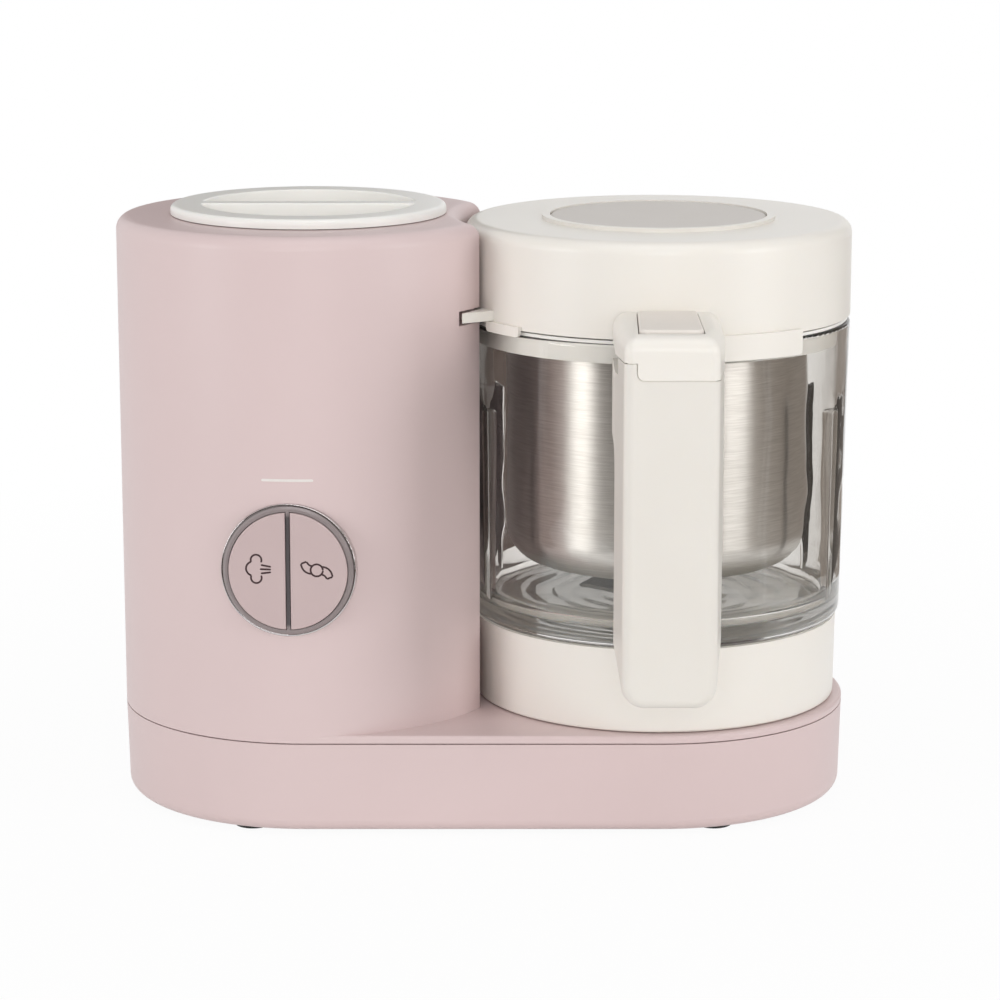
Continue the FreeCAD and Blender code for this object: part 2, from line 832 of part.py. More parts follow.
def make_rubber_feet():
    piece = Piece("rubber_feet", tower_x)

    def discs(s):
        for x, y in foot_places():
            s.disc(x, y, d.foot_r)

    piece.extrude("XY", ZERO, d.foot_height + d.foot_sink, discs)
    piece.round(d.foot_edge, level_at(ZERO))


def make_base_screws():
    piece = Piece("base_screws", tower_x)

    def heads(s):
        for x, y, top in screw_places():
            s.disc(x, y, d.screw_head_r)

    def shanks(s):
        for x, y, top in screw_places():
            s.disc(x, y, d.screw_r)

    piece.extrude("XY", screw_seat_z - d.screw_head, screw_seat_z, heads)
    piece.extrude("XY", screw_seat_z, tray_boss_top + d.screw_long - d.run_gap, shanks)


def make_cord_gland():
    piece = Piece("cord_gland", tower_x)
    piece.extrude("XZ", d.tower_r - d.gland_long, d.tower_r,
                  lambda s: s.ring(0, d.gland_z, d.gland_r, d.gland_bore))


def make_boiler():
    neck = Piece("filler_neck", tower_x)
    neck.revolve([
        (neck_bore, neck_bottom),
        (d.neck_r, neck_bottom),
        (d.neck_r, d.tower_top),
        (neck_flange_r, d.tower_top),
        (neck_flange_r, neck_top),
        (neck_bore, neck_top),
    ])
    seal = Piece("neck_seal", tower_x)
    seal.revolve(band(neck_bore, d.neck_r, tank_flange_z, neck_bottom))

    tank = Piece("water_tank", tower_x)
    inner_r = tank_r - d.tank_wall
    flange_low = tank_flange_z - d.tank_wall
    tank_floor = tank_bottom + d.tank_wall
    tank.revolve([
        (0, tank_bottom),
        (tank_r, tank_bottom),
        (tank_r, flange_low),
        (d.neck_r, flange_low),
        (d.neck_r, tank_flange_z),
        (inner_r, tank_flange_z),
        (inner_r, tank_floor),
        (0, tank_floor),
    ])
    tank.round(d.tank_edge - d.tank_wall, level_at(tank_floor, inner_r))
    tank.round(d.tank_edge, level_at(tank_bottom, tank_r))
    tank.cut("YZ", inner_r - d.tank_wall * 2, tank_r + d.tank_wall,
             lambda s: s.disc(0, steam_z, d.pipe_r))

    heater = Piece("heating_ring", tower_x)
    heater.sweep(lambda s: s.disc(d.heater_r, tank_bottom - d.heater_tube, d.heater_tube),
                 d.heater_angle)

    thermostat = Piece("thermostat", tower_x)
    thermostat.revolve(band(ZERO, d.thermostat_r, tank_bottom - d.thermostat_high, tank_bottom))
    thermostat.round(d.thermostat_edge, level_at(tank_bottom - d.thermostat_high))

    pipe = Piece("steam_pipe", tower_x)
    pipe.extrude("YZ", inner_r, nozzle_back_x, lambda s: s.ring(0, steam_z, d.pipe_r, d.pipe_bore))
    nozzle = Piece("steam_nozzle", tower_x)
    nozzle.extrude("YZ", nozzle_back_x, steam_wall_x + d.nozzle_proud,
                   lambda s: s.ring(0, steam_z, d.nozzle_r, d.pipe_bore))


def make_cap():
    cap = Piece("tank_cap", tower_x)
    cap.revolve([
        (0, plug_top),
        (plug_r, plug_top),
        (plug_r, cap_bottom),
        (neck_flange_r + d.run_gap, cap_bottom),
        (neck_flange_r + d.run_gap, d.tower_top + d.run_gap),
        (cap_r, d.tower_top + d.run_gap),
        (cap_r, cap_top),
        (dish_r, cap_top),
        (dish_r, dish_z),
        (0, dish_z),
    ])
    cap.round(d.dish_edge, level_at(dish_z, dish_r))
    half = d.grip_bar / 2
    bar_end = root(dish_r * dish_r - half * half) + d.dish_wall / 2
    cap.extrude("XY", dish_z - d.dish_floor / 2, cap_top, lambda s: s.box(-bar_end, -half, bar_end, half))
    cap.round(d.cap_edge, level_at(cap_top, cap_r))
    cap.round(d.dish_lip, lambda e: level_at(cap_top)(e) and e.BoundBox.XMax < float(dish_r) + CLOSE)

    plug = Piece("cap_plug", tower_x)
    plug.revolve(band(plug_r - d.plug_wall, plug_r, plug_bottom, plug_top))
    seal = Piece("cap_seal", tower_x)
    seal_top = plug_bottom - d.run_gap
    seal.revolve(band(plug_r - d.cap_seal_wide, plug_r, seal_top - d.cap_seal_thick, seal_top))


# Control panel, on the tower's axis and turned with it


def make_panel():
    inner_r = d.bezel_r - d.bezel_wall
    button_r = inner_r - d.ring_wide
    ring_face = panel_face + d.ring_proud

    bezel = Piece("button_bezel", tower_x, turn=d.panel_angle)
    bezel.extrude("XZ", -panel_face, -board_face, lambda s: s.ring(0, d.panel_z, d.bezel_r, inner_r))
    bezel.round(d.bezel_edge, lambda e: abs(e.BoundBox.YMax + float(panel_face)) < CLOSE)

    light = Piece("light_ring", tower_x, turn=d.panel_angle)
    light.extrude("XZ", -ring_face, -board_face, lambda s: s.ring(0, d.panel_z, inner_r, button_r))
    light.round(d.ring_slope, lambda e: abs(e.BoundBox.YMax + float(ring_face)) < CLOSE
                and e.BoundBox.XLength > 2 * float(button_r) + CLOSE, kind="Chamfer")
    bar = d.bar_wide / 2
    light.extrude("XZ", -ring_face, -board_face,
                  lambda s: s.box(-bar, d.panel_z - button_r - bar, bar, d.panel_z + button_r + bar))

    key_r = button_r - d.button_gap
    inset = bar + d.button_gap
    for label, side in (("steam_button", -1), ("blend_button", 1)):
        button = Piece(label, tower_x, turn=d.panel_angle)
        button.extrude("XZ", -button_face, -button_back, lambda s: s.disc(0, d.panel_z, key_r))
        edges = sorted((inset * side, -key_r * side * 2), key=float)
        button.cut("XZ", -button_face, -button_back,
                   lambda s: s.box(edges[0], d.panel_z - key_r * 2, edges[1], d.panel_z + key_r * 2))
        button.round(d.button_edge, lambda e: abs(e.BoundBox.YMax + float(button_face)) < CLOSE)

    board = Piece("control_board", tower_x, turn=d.panel_angle)
    board.extrude("XZ", -board_face, -board_back_face, lambda s: s.disc(0, d.panel_z, d.bezel_r))

    switches = Piece("button_switches", tower_x, turn=d.panel_angle)
    half = d.switch_side / 2

    def keys(s):
        for side in (1, -1):
            centre = d.switch_apart * side
            s.box(centre - half, d.panel_z - half, centre + half, d.panel_z + half)

    switches.extrude("XZ", -switch_face, -board_face, keys)

    carrier = Piece("panel_carrier", tower_x, turn=d.panel_angle)
    carrier_r = d.bezel_r + d.carrier_wall
    carrier.extrude("XZ", -d.tower_r, -carrier_back, lambda s: s.disc(0, d.panel_z, carrier_r))
    carrier.cut("XZ", -d.tower_r, -board_back_face,
                lambda s: s.disc(0, d.panel_z, d.bezel_r + d.press_gap))
    carrier.revolve(band(tower_inner_r, d.tower_r + d.bezel_r, d.panel_z - carrier_r * 2,
                         d.panel_z + carrier_r * 2), cut=True)

    interlock = Piece("interlock_switch", tower_x)
    interlock.extrude("XY", notch_z, notch_z + d.notch_rise,
                      lambda s: s.box(notch_block_x - d.interlock_deep, -notch_block_y - d.interlock_long,
                                      notch_block_x, -notch_block_y))


# Motor and belt drive


def pulley_outline(bore, radius):
    lip = radius + d.pulley_flange
    low, high = d.pulley_z + d.pulley_lip, pulley_top - d.pulley_lip
    return [
        (bore, d.pulley_z),
        (lip, d.pulley_z),
        (lip, low),
        (radius, low),
        (radius, high),
        (lip, high),
        (lip, pulley_top),
        (bore, pulley_top),
    ]


def make_motor():
    legs = [(ZERO, d.leg_ring_r), (-d.leg_ring_r, ZERO), (ZERO, -d.leg_ring_r)]
    mount = Piece("motor_mount", tower_x)
    mount.extrude("XY", d.mount_z, motor_base, lambda s: s.ring(0, 0, d.mount_r, d.motor_boss_r))

    def feet(s):
        for x, y in legs:
            s.disc(x, y, d.leg_r)

    mount.extrude("XY", tray_floor_z, d.mount_z, feet)
    hole = mount.cut("XY", d.mount_z, motor_base,
                     lambda s: s.disc(d.mount_screw_ring, 0, d.screw_r + d.press_gap))
    mount.around(hole, MOUNT_SCREWS)

    screws = Piece("mount_screws", tower_x)
    screws.extrude("XY", d.mount_z - d.screw_head, d.mount_z,
                   lambda s: s.disc(d.mount_screw_ring, 0, d.screw_head_r))
    screws.extrude("XY", d.mount_z - d.screw_head, motor_base,
                   lambda s: s.disc(d.mount_screw_ring, 0, d.screw_r))
    screws.around_all(MOUNT_SCREWS)

    shaft_room = d.motor_shaft_r + d.run_gap
    motor = Piece("motor_body", tower_x)
    motor.revolve([
        (shaft_room, motor_base),
        (d.motor_r, motor_base),
        (d.motor_r, motor_top - d.motor_bell),
        (d.motor_r - d.motor_bell, motor_top - d.motor_bell),
        (d.motor_bearing_r, motor_top),
        (shaft_room, motor_top),
    ])
    slot_low = motor_base + d.motor_bell
    slot = motor.cut("YZ", d.motor_r - d.motor_slot, d.motor_r,
                     lambda s: s.box(-d.motor_slot, slot_low, d.motor_slot, motor_top - d.motor_bell * 2))
    motor.around(slot, MOTOR_SLOTS)

    fan_z = motor_top + d.run_gap * 2
    fan_top = fan_z + d.fan_high
    shaft = Piece("motor_shaft", tower_x)
    shaft.revolve(band(ZERO, d.motor_shaft_r, d.pulley_z - d.run_gap, fan_top))
    pulley = Piece("motor_pulley", tower_x)
    pulley.revolve(pulley_outline(d.motor_shaft_r, d.small_pulley_r))

    fan = Piece("motor_fan", tower_x)
    fan.revolve([
        (d.motor_shaft_r, fan_z),
        (d.fan_r, fan_z),
        (d.fan_r, fan_z + d.fan_web),
        (d.fan_hub_r, fan_z + d.fan_web),
        (d.fan_hub_r, fan_top),
        (d.motor_shaft_r, fan_top),
    ])
    vane = fan.extrude("XY", fan_z, fan_top,
                       lambda s: s.box(d.fan_hub_r - d.fan_web, 0, d.fan_r - d.fan_web, d.fan_web))
    fan.around(vane, FAN_VANES)


def make_drive():
    belt = Piece("drive_belt", tower_x)
    belt_gap = d.run_gap / 2
    low, high = d.pulley_z + d.pulley_lip + belt_gap, pulley_top - d.pulley_lip - belt_gap
    small, large = d.small_pulley_r + belt_gap, d.large_pulley_r + belt_gap

    def loops(s):
        s.loop(axis_gap, small + d.belt_thick, large + d.belt_thick)
        s.loop(axis_gap, small, large)

    belt.extrude("XY", low, high, loops)

    bush = Piece("spindle_bush", bowl_x)
    bush.revolve(band(d.spindle_r + d.press_gap, d.spindle_bush_r, deck_boss_low, deck_boss_top))
    spindle = Piece("drive_spindle", bowl_x)
    spindle.revolve(band(ZERO, d.spindle_r, d.pulley_z - d.pulley_lip, drive_dog_top))

    pulley = Piece("driven_pulley", bowl_x)
    pulley.revolve(pulley_outline(d.spindle_r, d.large_pulley_r))
    hole_ring = (d.spindle_r + d.large_pulley_r) / 2
    hole = pulley.cut("XY", d.pulley_z, pulley_top, lambda s: s.disc(hole_ring, 0, d.pulley_hole_r))
    pulley.around(hole, PULLEY_HOLES)

    # three dogs on each half, meshed with room on both flanks
    half = d.dog_angle / 2
    drive = Piece("drive_dog", bowl_x)
    drive.revolve(band(d.spindle_r, d.dog_r, drive_dog_z, drive_dog_top))
    dog = drive.extrude("XY", drive_dog_top, drive_dog_top + d.dog_high,
                        lambda s: s.sector(d.dog_bore, d.dog_r, -half, half))
    drive.around(dog, DOGS)
    blade = Piece("blade_dog", bowl_x)
    blade.revolve(band(d.blade_shaft_r, d.dog_r, blade_dog_z, blade_dog_top))
    middle = size(FULL_TURN / DOGS / 2)
    dog = blade.extrude("XY", drive_dog_top + d.run_gap, blade_dog_z,
                        lambda s: s.sector(d.dog_bore, d.dog_r, middle - half, middle + half))
    blade.around(dog, DOGS)


# Bowl, on the bowl's axis


def make_bowl():
    wall = d.bowl_base_wall
    base = Piece("bowl_base", bowl_x)
    base.revolve([
        (bowl_base_foot_r, bowl_base_z),
        (bowl_base_r, glass_bottom),
        (d.bush_r + d.press_gap, glass_bottom),
        (d.bush_r + d.press_gap, base_plate_z),
        (bowl_base_r - wall, base_plate_z),
        (bowl_base_foot_r - wall, bowl_base_z),
    ])
    seal_z = glass_bottom - d.seal_thick
    base.revolve(band(bowl_seal_in, bowl_seal_out, seal_z, glass_bottom), cut=True)
    base.round(d.bowl_base_edge, level_at(bowl_base_z, bowl_base_foot_r))
    seal = Piece("bowl_seal", bowl_x)
    seal.revolve(band(bowl_seal_in, bowl_seal_out, seal_z, glass_bottom))

    glass = Piece("glass_bowl", bowl_x)
    bore = d.bush_r + d.press_gap
    glass.revolve([
        (bore, glass_bottom),
        (glass_foot_r, glass_bottom),
        (glass_rim_r, glass_rim_z),
        (glass_rim_r - d.glass_wall, glass_rim_z),
        (glass_foot_r - d.glass_wall, glass_floor_z),
        (bore, glass_floor_z),
    ])
    glass.round(d.glass_inner_edge, level_at(glass_floor_z, glass_foot_r - d.glass_wall))
    glass.round(d.glass_edge, level_at(glass_bottom, glass_foot_r))
    glass.round(d.glass_lip, level_at(glass_rim_z))
    # flow ribs inside the wall, two on each side
    for angle in (d.rib_angle, -d.rib_angle):
        across, along = rib_ring_r * cosine(angle), rib_ring_r * sine(angle)
        rib = glass.extrude("XY", glass_floor_z, rib_top, lambda s: s.disc(across, along, d.rib_r))
        glass.around(rib, PAIR)
    glass.round(d.rib_r - d.glass_lip, lambda e: level_at(rib_top)(e) and e.Length > float(d.rib_r))

    bush = Piece("blade_bush", bowl_x)
    bush.revolve([
        (bush_bore, base_plate_z - d.nut_high - d.bush_flange),
        (d.bush_r, base_plate_z - d.nut_high - d.bush_flange),
        (d.bush_r, glass_floor_z),
        (d.bush_flange_r, glass_floor_z),
        (d.bush_flange_r, glass_floor_z + d.bush_flange),
        (bush_bore, glass_floor_z + d.bush_flange),
    ])
    nut = Piece("bush_nut", bowl_x)

    def hexagon(s):
        step = FULL_TURN / NUT_SIDES
        corner = d.nut_flats / 2 / cosine(size(step / 2))
        turns = [size(step * i) for i in range(NUT_SIDES)]
        s.polygon([(corner * cosine(turn), corner * sine(turn)) for turn in turns])
        s.disc(0, 0, d.bush_r + d.press_gap)

    nut.extrude("XY", base_plate_z - d.nut_high, base_plate_z, hexagon)


def grip_plan(back):
    # The handle seen from above: straight by the bowl, drawn in towards the front.
    rear, front = d.grip_back_half, d.grip_front_half
    return [
        (-rear, -back),
        (-rear, -grip_back),
        (-front, -handle_reach),
        (front, -handle_reach),
        (rear, -grip_back),
        (rear, -back),
    ]


def make_handle():
    grip = Piece("handle_grip", bowl_x)
    grip.extrude("XY", grip_bottom, handle_top, lambda s: s.polygon(grip_plan(bowl_base_r)))
    # open between the grip and the bowl, and cut up towards the back at the free end
    grip.cut("YZ", -d.grip_back_half * 2, d.grip_back_half * 2, lambda s: s.polygon([
        (-handle_reach * 2, grip_bottom - d.grip_bottom_rise),
        (-handle_reach, grip_bottom),
        (-grip_back, grip_bottom + d.grip_bottom_rise),
        (-grip_back, arm_bottom),
        (ZERO, arm_bottom),
        (ZERO, grip_bottom - d.grip_bottom_rise),
    ]))
    grip.revolve([
        (0, glass_bottom),
        (glass_foot_r, glass_bottom),
        (glass_rim_r, glass_rim_z),
        (0, glass_rim_z),
    ], cut=True)
    # lip on the left that stops the lid's beak
    lip_left = d.grip_front_half + (d.grip_back_half - d.grip_front_half) * d.lip_long / d.grip_deep
    lip_right = -d.grip_front_half + d.lip_wide
    grip.extrude("XY", handle_top, lip_top, lambda s: s.polygon([
        (-d.grip_front_half, -handle_reach),
        (lip_right, -handle_reach),
        (lip_right, d.lip_long - handle_reach),
        (-lip_left, d.lip_long - handle_reach),
    ]))
    grip.round(d.arm_corner, lambda e: level_at(arm_bottom)(e)
               and abs(e.BoundBox.YMax + float(grip_back)) < CLOSE)
    # soft lower corners first, so that the front face has one smooth outline to round
    grip.round(d.grip_corner, lambda e: e.BoundBox.ZMin < float(grip_bottom) + CLOSE
               and abs(e.BoundBox.ZLength - float(d.grip_bottom_rise)) < CLOSE
               and e.BoundBox.YLength > CLOSE)
    grip.round(d.lip_corner + d.run_gap, lambda e: level_at(handle_top)(e)
               and abs(e.CenterOfMass.x - float(lip_right)) < CLOSE)
    grip.round(d.grip_edge, lambda e: abs(e.BoundBox.YMax + float(handle_reach)) < CLOSE
               and e.CenterOfMass.z < float(handle_top) - CLOSE)
    # shallow bed for the cover strip on the finger side
    half, low, high = d.back_plate_half, back_plate_low, back_plate_high
    deep = grip_back + d.back_plate_thick
    grip.cut("XZ", -deep, -grip_back, lambda s: s.box(-half, low, half, high))
    places = [low + d.back_screw_in, high - d.back_screw_in]
    for z in places:
        grip.cut("XZ", -deep - d.back_screw_long, -deep, lambda s: s.disc(0, z, d.screw_r + d.press_gap))

    strip = Piece("handle_back", bowl_x)
    strip.extrude("XZ", -deep, -grip_back, lambda s: s.box(-half, low, half, high))
    screws = Piece("handle_screws", bowl_x)
    sink = d.back_plate_thick / 2
    for z in places:
        strip.cut("XZ", -deep, -grip_back, lambda s: s.disc(0, z, d.screw_r + d.press_gap))
        strip.cut("XZ", -grip_back - sink, -grip_back, lambda s: s.disc(0, z, d.screw_head_r + d.press_gap))
        screws.extrude("XZ", -grip_back - sink, -grip_back - d.press_gap,
                       lambda s: s.disc(0, z, d.screw_head_r))
        screws.extrude("XZ", -deep - d.back_screw_long + d.run_gap, -grip_back - sink,
                       lambda s: s.disc(0, z, d.screw_r))


# Blade


def make_blade():
    shaft = Piece("blade_shaft", bowl_x)
    hub_top = hub_z + d.hub_high
    shaft_top = hub_top - d.hub_dome
    shaft.revolve(band(ZERO, d.blade_shaft_r, blade_dog_z, shaft_top))
    hub = Piece("blade_hub", bowl_x)
    hub.revolve([
        (d.blade_shaft_r, hub_z),
        (d.hub_r, hub_z),
        (d.hub_r, hub_top),
        (0, hub_top),
        (0, shaft_top),
        (d.blade_shaft_r, shaft_top),
    ])
    hub.round(d.hub_dome, level_at(hub_top))
    low = hub_z + d.blade_thick
    make_wings("blade_lower", low, d.blade_reach, d.blade_angle, pitch=d.blade_pitch_angle)
    cross = d.blade_angle + d.blade_cross_angle
    make_wings("blade_upper", low + d.blade_step, d.upper_reach, cross, tilt=-d.blade_tilt_angle)


def make_wings(label, low, reach, turn, tilt=None, pitch=None):
    # A collar round the hub with two leaf-shaped wings, each ground to an edge on its leading side.
    piece = Piece(label, bowl_x, turn=turn)
    collar_r = d.hub_r + d.blade_thick * 2
    half, root_half = d.blade_wide / 2, d.blade_root / 2
    drawing = piece.draw("XY", low, tilt=tilt, pitch=pitch)
    drawing.polygon([
        (d.blade_shaft_r, -root_half),
        (d.blade_belly, -half),
        (reach, ZERO),
        (d.blade_belly, half),
        (d.blade_shaft_r, root_half),
    ])
    wing = piece.feature("Pad", drawing)
    wing.setExpression("Length", d.blade_thick.text)
    doc.recompute()
    tip = max(edge.BoundBox.XMax for edge in wing.Shape.Edges)
    piece.round(d.blade_bevel, lambda e: e.BoundBox.XMax > tip - float(d.blade_thick)
                and e.BoundBox.XLength > float(d.blade_thick) and e.CenterOfMass.y < 0, kind="Chamfer")
    piece.around_all(PAIR)
    piece.extrude("XY", low - d.blade_thick / 4, low + d.blade_thick, lambda s: s.disc(0, 0, collar_r))
    piece.revolve(band(ZERO, d.hub_r, low - d.hub_high, low + d.hub_high), cut=True)


# Basket


def make_basket():
    inner_r = basket_r - d.basket_wall
    floor = basket_bottom + d.basket_wall
    basket = Piece("steam_basket", bowl_x)
    basket.revolve([
        (0, basket_bottom),
        (basket_r, basket_bottom),
        (basket_r, rim_top),
        (inner_r, rim_top),
        (inner_r, floor),
        (0, floor),
    ])
    basket.round(d.basket_edge - d.basket_wall, level_at(floor, inner_r))
    basket.round(d.basket_edge, level_at(basket_bottom, basket_r))
    basket.cut("XY", basket_bottom, floor, lambda s: s.disc(0, 0, d.hole_r))
    for ring, count in ((d.hole_ring_one, INNER_HOLES), (d.hole_ring_two, OUTER_HOLES)):
        hole = basket.cut("XY", basket_bottom, floor, lambda s: s.disc(ring, 0, d.hole_r))
        basket.around(hole, count)

    rim = Piece("basket_rim", bowl_x)
    web_low = rim_top - d.rim_wall
    rim.revolve([
        (basket_r, rim_bottom),
        (basket_r + d.rim_wall, rim_bottom),
        (basket_r + d.rim_wall, web_low),
        (rim_r - d.rim_wall, web_low),
        (rim_r - d.rim_wall, rim_bottom),
        (rim_r, rim_bottom),
        (rim_r, rim_flange_z),
        (rim_flange_r, rim_flange_z),
        (rim_flange_r, rim_top),
        (basket_r, rim_top),
    ])


# Lid


def make_lid():
    lid = Piece("lid_shell", bowl_x)
    # tongue first, trimmed to pass outside the tower wall, so that the shell grows over its root
    tongue_front = -d.tongue_front
    tongue_back = tongue_front + d.tongue_slant
    mid_wall = d.lid_r - d.lid_wall / 2
    lid.extrude("XY", tongue_z, tongue_z + d.tongue_thick, lambda s: s.polygon([
        (tongue_tip_x, tongue_front),
        (-root(mid_wall * mid_wall - tongue_back * tongue_back), tongue_back),
        (-root(mid_wall * mid_wall - corner_y * corner_y), -corner_y),
        (tongue_tip_x, -corner_y),
    ]))
    lid.cut("XY", tongue_z, tongue_z + d.tongue_thick,
            lambda s: s.disc(-axis_gap, 0, d.tower_r + d.run_gap * 2))
    inner_r = d.lid_r - d.lid_wall
    bed_z = lid_top - d.disc_sink
    ring_in, ring_top = d.disc_r + d.run_gap, lid_top + d.lid_ring_high
    ring_out = ring_in + d.lid_ring_wide
    ceiling = bed_z - d.lid_wall
    lid.revolve([
        (0, bed_z),
        (ring_in, bed_z),
        (ring_in, ring_top),
        (ring_out, ring_top),
        (ring_out, lid_top),
        (d.lid_r, lid_top),
        (d.lid_r, lid_bottom),
        (inner_r, lid_bottom),
        (inner_r, ceiling),
        (0, ceiling),
    ])
    lid.round(d.lid_edge - d.lid_wall, level_at(ceiling, inner_r))
    lid.round(d.lid_edge, level_at(lid_top, d.lid_r))

    # skirt that hangs outside the glass: a long wing on the right and a short tab on the left
    for start, end, drop in (
        (wing_start_angle, d.wing_end_angle, d.wing_drop),
        (d.tab_start_angle, d.tab_end_angle, d.tab_drop),
    ):
        lid.extrude("XY", lid_bottom, lid_bottom + d.skirt_wall,
                    lambda s: s.sector(d.lid_r - d.lid_wall / 2, skirt_out, start, end))
        lid.extrude("XY", lid_bottom - drop, lid_bottom,
                    lambda s: s.sector(skirt_in, skirt_out, start, end))
        lid.round(d.skirt_corner, lambda e: level_at(lid_bottom - drop)(e)
                  and e.Length < float(d.skirt_wall) + CLOSE)

    # beak over the handle, with a flap that stands beside the handle's lip
    beak_back = d.lid_r - d.lid_wall / 2
    shelf_z = lip_top + d.run_gap
    beak_high = beak_top + d.beak_slope
    lid.extrude("XY", shelf_z, beak_high, lambda s: s.polygon(grip_plan(beak_back)))
    flap_left = -d.grip_front_half + d.lip_wide + d.run_gap
    lid.extrude("XY", beak_bottom, shelf_z, lambda s: s.polygon([
        (flap_left, -skirt_out),
        (flap_left, -handle_reach),
        (d.grip_front_half, -handle_reach),
        (d.grip_back_half, -grip_back),
        (d.grip_back_half, -skirt_out),
    ]))
    lid.cut("YZ", -d.grip_back_half * 2, d.grip_back_half * 2, lambda s: s.polygon([
        (-d.lid_r, beak_high),
        (-handle_reach, beak_top),
        (-handle_reach, beak_high),
    ]))
    front = -handle_reach
    lid.round(d.lip_corner, lambda e: level_at(beak_bottom)(e)
              and abs(e.CenterOfMass.x - float(flap_left)) < CLOSE)
    def top_outline(edge):
        middle = edge.CenterOfMass
        if not float(beak_top) - CLOSE < middle.z < float(beak_high) + CLOSE:
            return False
        return abs(middle.y - float(front)) < CLOSE or abs(middle.x) > float(d.grip_front_half) - CLOSE

    lid.round(d.beak_edge, top_outline)
    lid.round(d.grip_edge, both(upright_at(d.grip_front_half, front), upright_at(-d.grip_front_half, front)))

    # hollow under the beak, and the well that the grey key sinks into
    wall = d.beak_wall
    lid.cut("XY", beak_bottom, shelf_z, lambda s: s.polygon([
        (flap_left + wall, -skirt_out - wall),
        (flap_left + wall, wall - handle_reach),
        (d.grip_front_half - wall, wall - handle_reach),
        (d.grip_back_half - wall, -grip_back),
        (d.grip_back_half - wall, -skirt_out - wall),
    ]))
    lid.cut("XY", key_well_z, beak_high, lambda s: s.polygon(key_plan(d.run_gap)))
    lid.cut("YZ", -d.lid_r - d.lid_wall, -inner_r + d.lid_wall,
            lambda s: s.disc(0, steam_z, d.pipe_r))

    disc = Piece("lid_disc", bowl_x)
    disc_top = lid_top + d.disc_proud
    disc.revolve(band(ZERO, d.disc_r, bed_z, disc_top))
    disc.round(d.disc_edge, level_at(disc_top))

    liner = Piece("lid_liner", bowl_x)
    seal_top = lid_seal_z + d.lid_seal_high
    skirt_low = seal_top + d.run_gap
    tube_r = d.liner_bore + d.liner_thick
    liner.revolve([
        (d.liner_bore, skirt_low),
        (tube_r, skirt_low),
        (tube_r, liner_z),
        (liner_skirt_r - d.liner_thick, liner_z),
        (liner_skirt_r - d.liner_thick, skirt_low),
        (liner_skirt_r, skirt_low),
        (liner_skirt_r, liner_z),
        (inner_r, liner_z),
        (inner_r, liner_z + d.liner_thick),
        (d.liner_bore, liner_z + d.liner_thick),
    ])
    seal = Piece("lid_seal", bowl_x)
    seal.revolve(band(lid_seal_in, lid_seal_out, lid_seal_z, seal_top))

    key = Piece("lid_button", bowl_x)
    key_top = beak_high + d.key_proud
    key.extrude("XY", beak_top - d.key_deep, key_top, lambda s: s.polygon(key_plan(ZERO)))
    key.cut("YZ", -d.grip_back_half, d.grip_back_half, lambda s: s.polygon([
        (-d.lid_r, key_top),
        (-handle_reach, beak_top + d.key_proud),
        (-handle_reach, key_top),
    ]))
    key.round(d.key_corner, lambda e: e.BoundBox.XLength < CLOSE and e.BoundBox.YLength < CLOSE
              and e.BoundBox.YMax < -float(key_front) + CLOSE)
    key.round(d.key_edge, lambda e: e.BoundBox.ZMin > float(beak_top) + CLOSE)


def key_plan(gap):
    return [
        (-d.key_back_half - gap, -key_back + gap),
        (-d.key_front_half - gap, -key_front - gap),
        (d.key_front_half + gap, -key_front - gap),
        (d.key_back_half + gap, -key_back + gap),
    ]


def export():
    os.makedirs("parts", exist_ok=True)
    for piece in PIECES:
        body = piece.body
        for thing in [body] + list(body.Group):
            if "Invalid" in thing.State or "Error" in thing.State:
                raise RuntimeError(f"{body.Label}: {thing.Name} is {thing.State}")
        if body.Shape.isNull() or not body.Shape.isValid():
            raise RuntimeError(f"{body.Label}: bad shape")
        body.Shape.exportStep(f"parts/{body.Label}.step")
        print(f"{body.Label}: {len(body.Shape.Solids)} solid(s), {body.Shape.Volume / 1000:.2f} cm3")


for make in (
    make_upper_housing,
    make_base_tray,
    make_rubber_feet,
    make_base_screws,
    make_cord_gland,
    make_boiler,
    make_cap,
    make_panel,
    make_motor,
    make_drive,
    make_bowl,
    make_handle,
    make_blade,
    make_basket,
    make_lid,
):
    make()
export()
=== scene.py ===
import bpy
import math
import numpy as np
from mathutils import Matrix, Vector


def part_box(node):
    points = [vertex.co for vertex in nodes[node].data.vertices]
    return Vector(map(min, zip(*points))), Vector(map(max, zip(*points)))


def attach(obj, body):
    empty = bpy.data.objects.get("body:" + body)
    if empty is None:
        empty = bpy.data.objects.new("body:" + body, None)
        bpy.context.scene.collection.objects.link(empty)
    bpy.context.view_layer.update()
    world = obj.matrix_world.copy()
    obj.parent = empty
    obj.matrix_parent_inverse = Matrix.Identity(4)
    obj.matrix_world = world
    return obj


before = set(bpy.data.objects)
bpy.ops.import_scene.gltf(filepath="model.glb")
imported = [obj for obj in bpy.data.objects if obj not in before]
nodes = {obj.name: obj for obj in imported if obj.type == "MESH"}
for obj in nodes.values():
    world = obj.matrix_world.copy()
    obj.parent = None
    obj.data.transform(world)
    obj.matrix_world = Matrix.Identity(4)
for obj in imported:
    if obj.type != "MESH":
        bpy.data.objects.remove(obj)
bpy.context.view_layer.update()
mm = 0.001
print("frame loaded:", len(nodes), "nodes")

towerAxis = np.array([-72.25, 25.25])  # plan of the tank tower's axis, mm
bowlAxis = np.array([71.75, 25.25])  # plan of the bowl's axis, mm
upright = np.array([0, 0, 1])
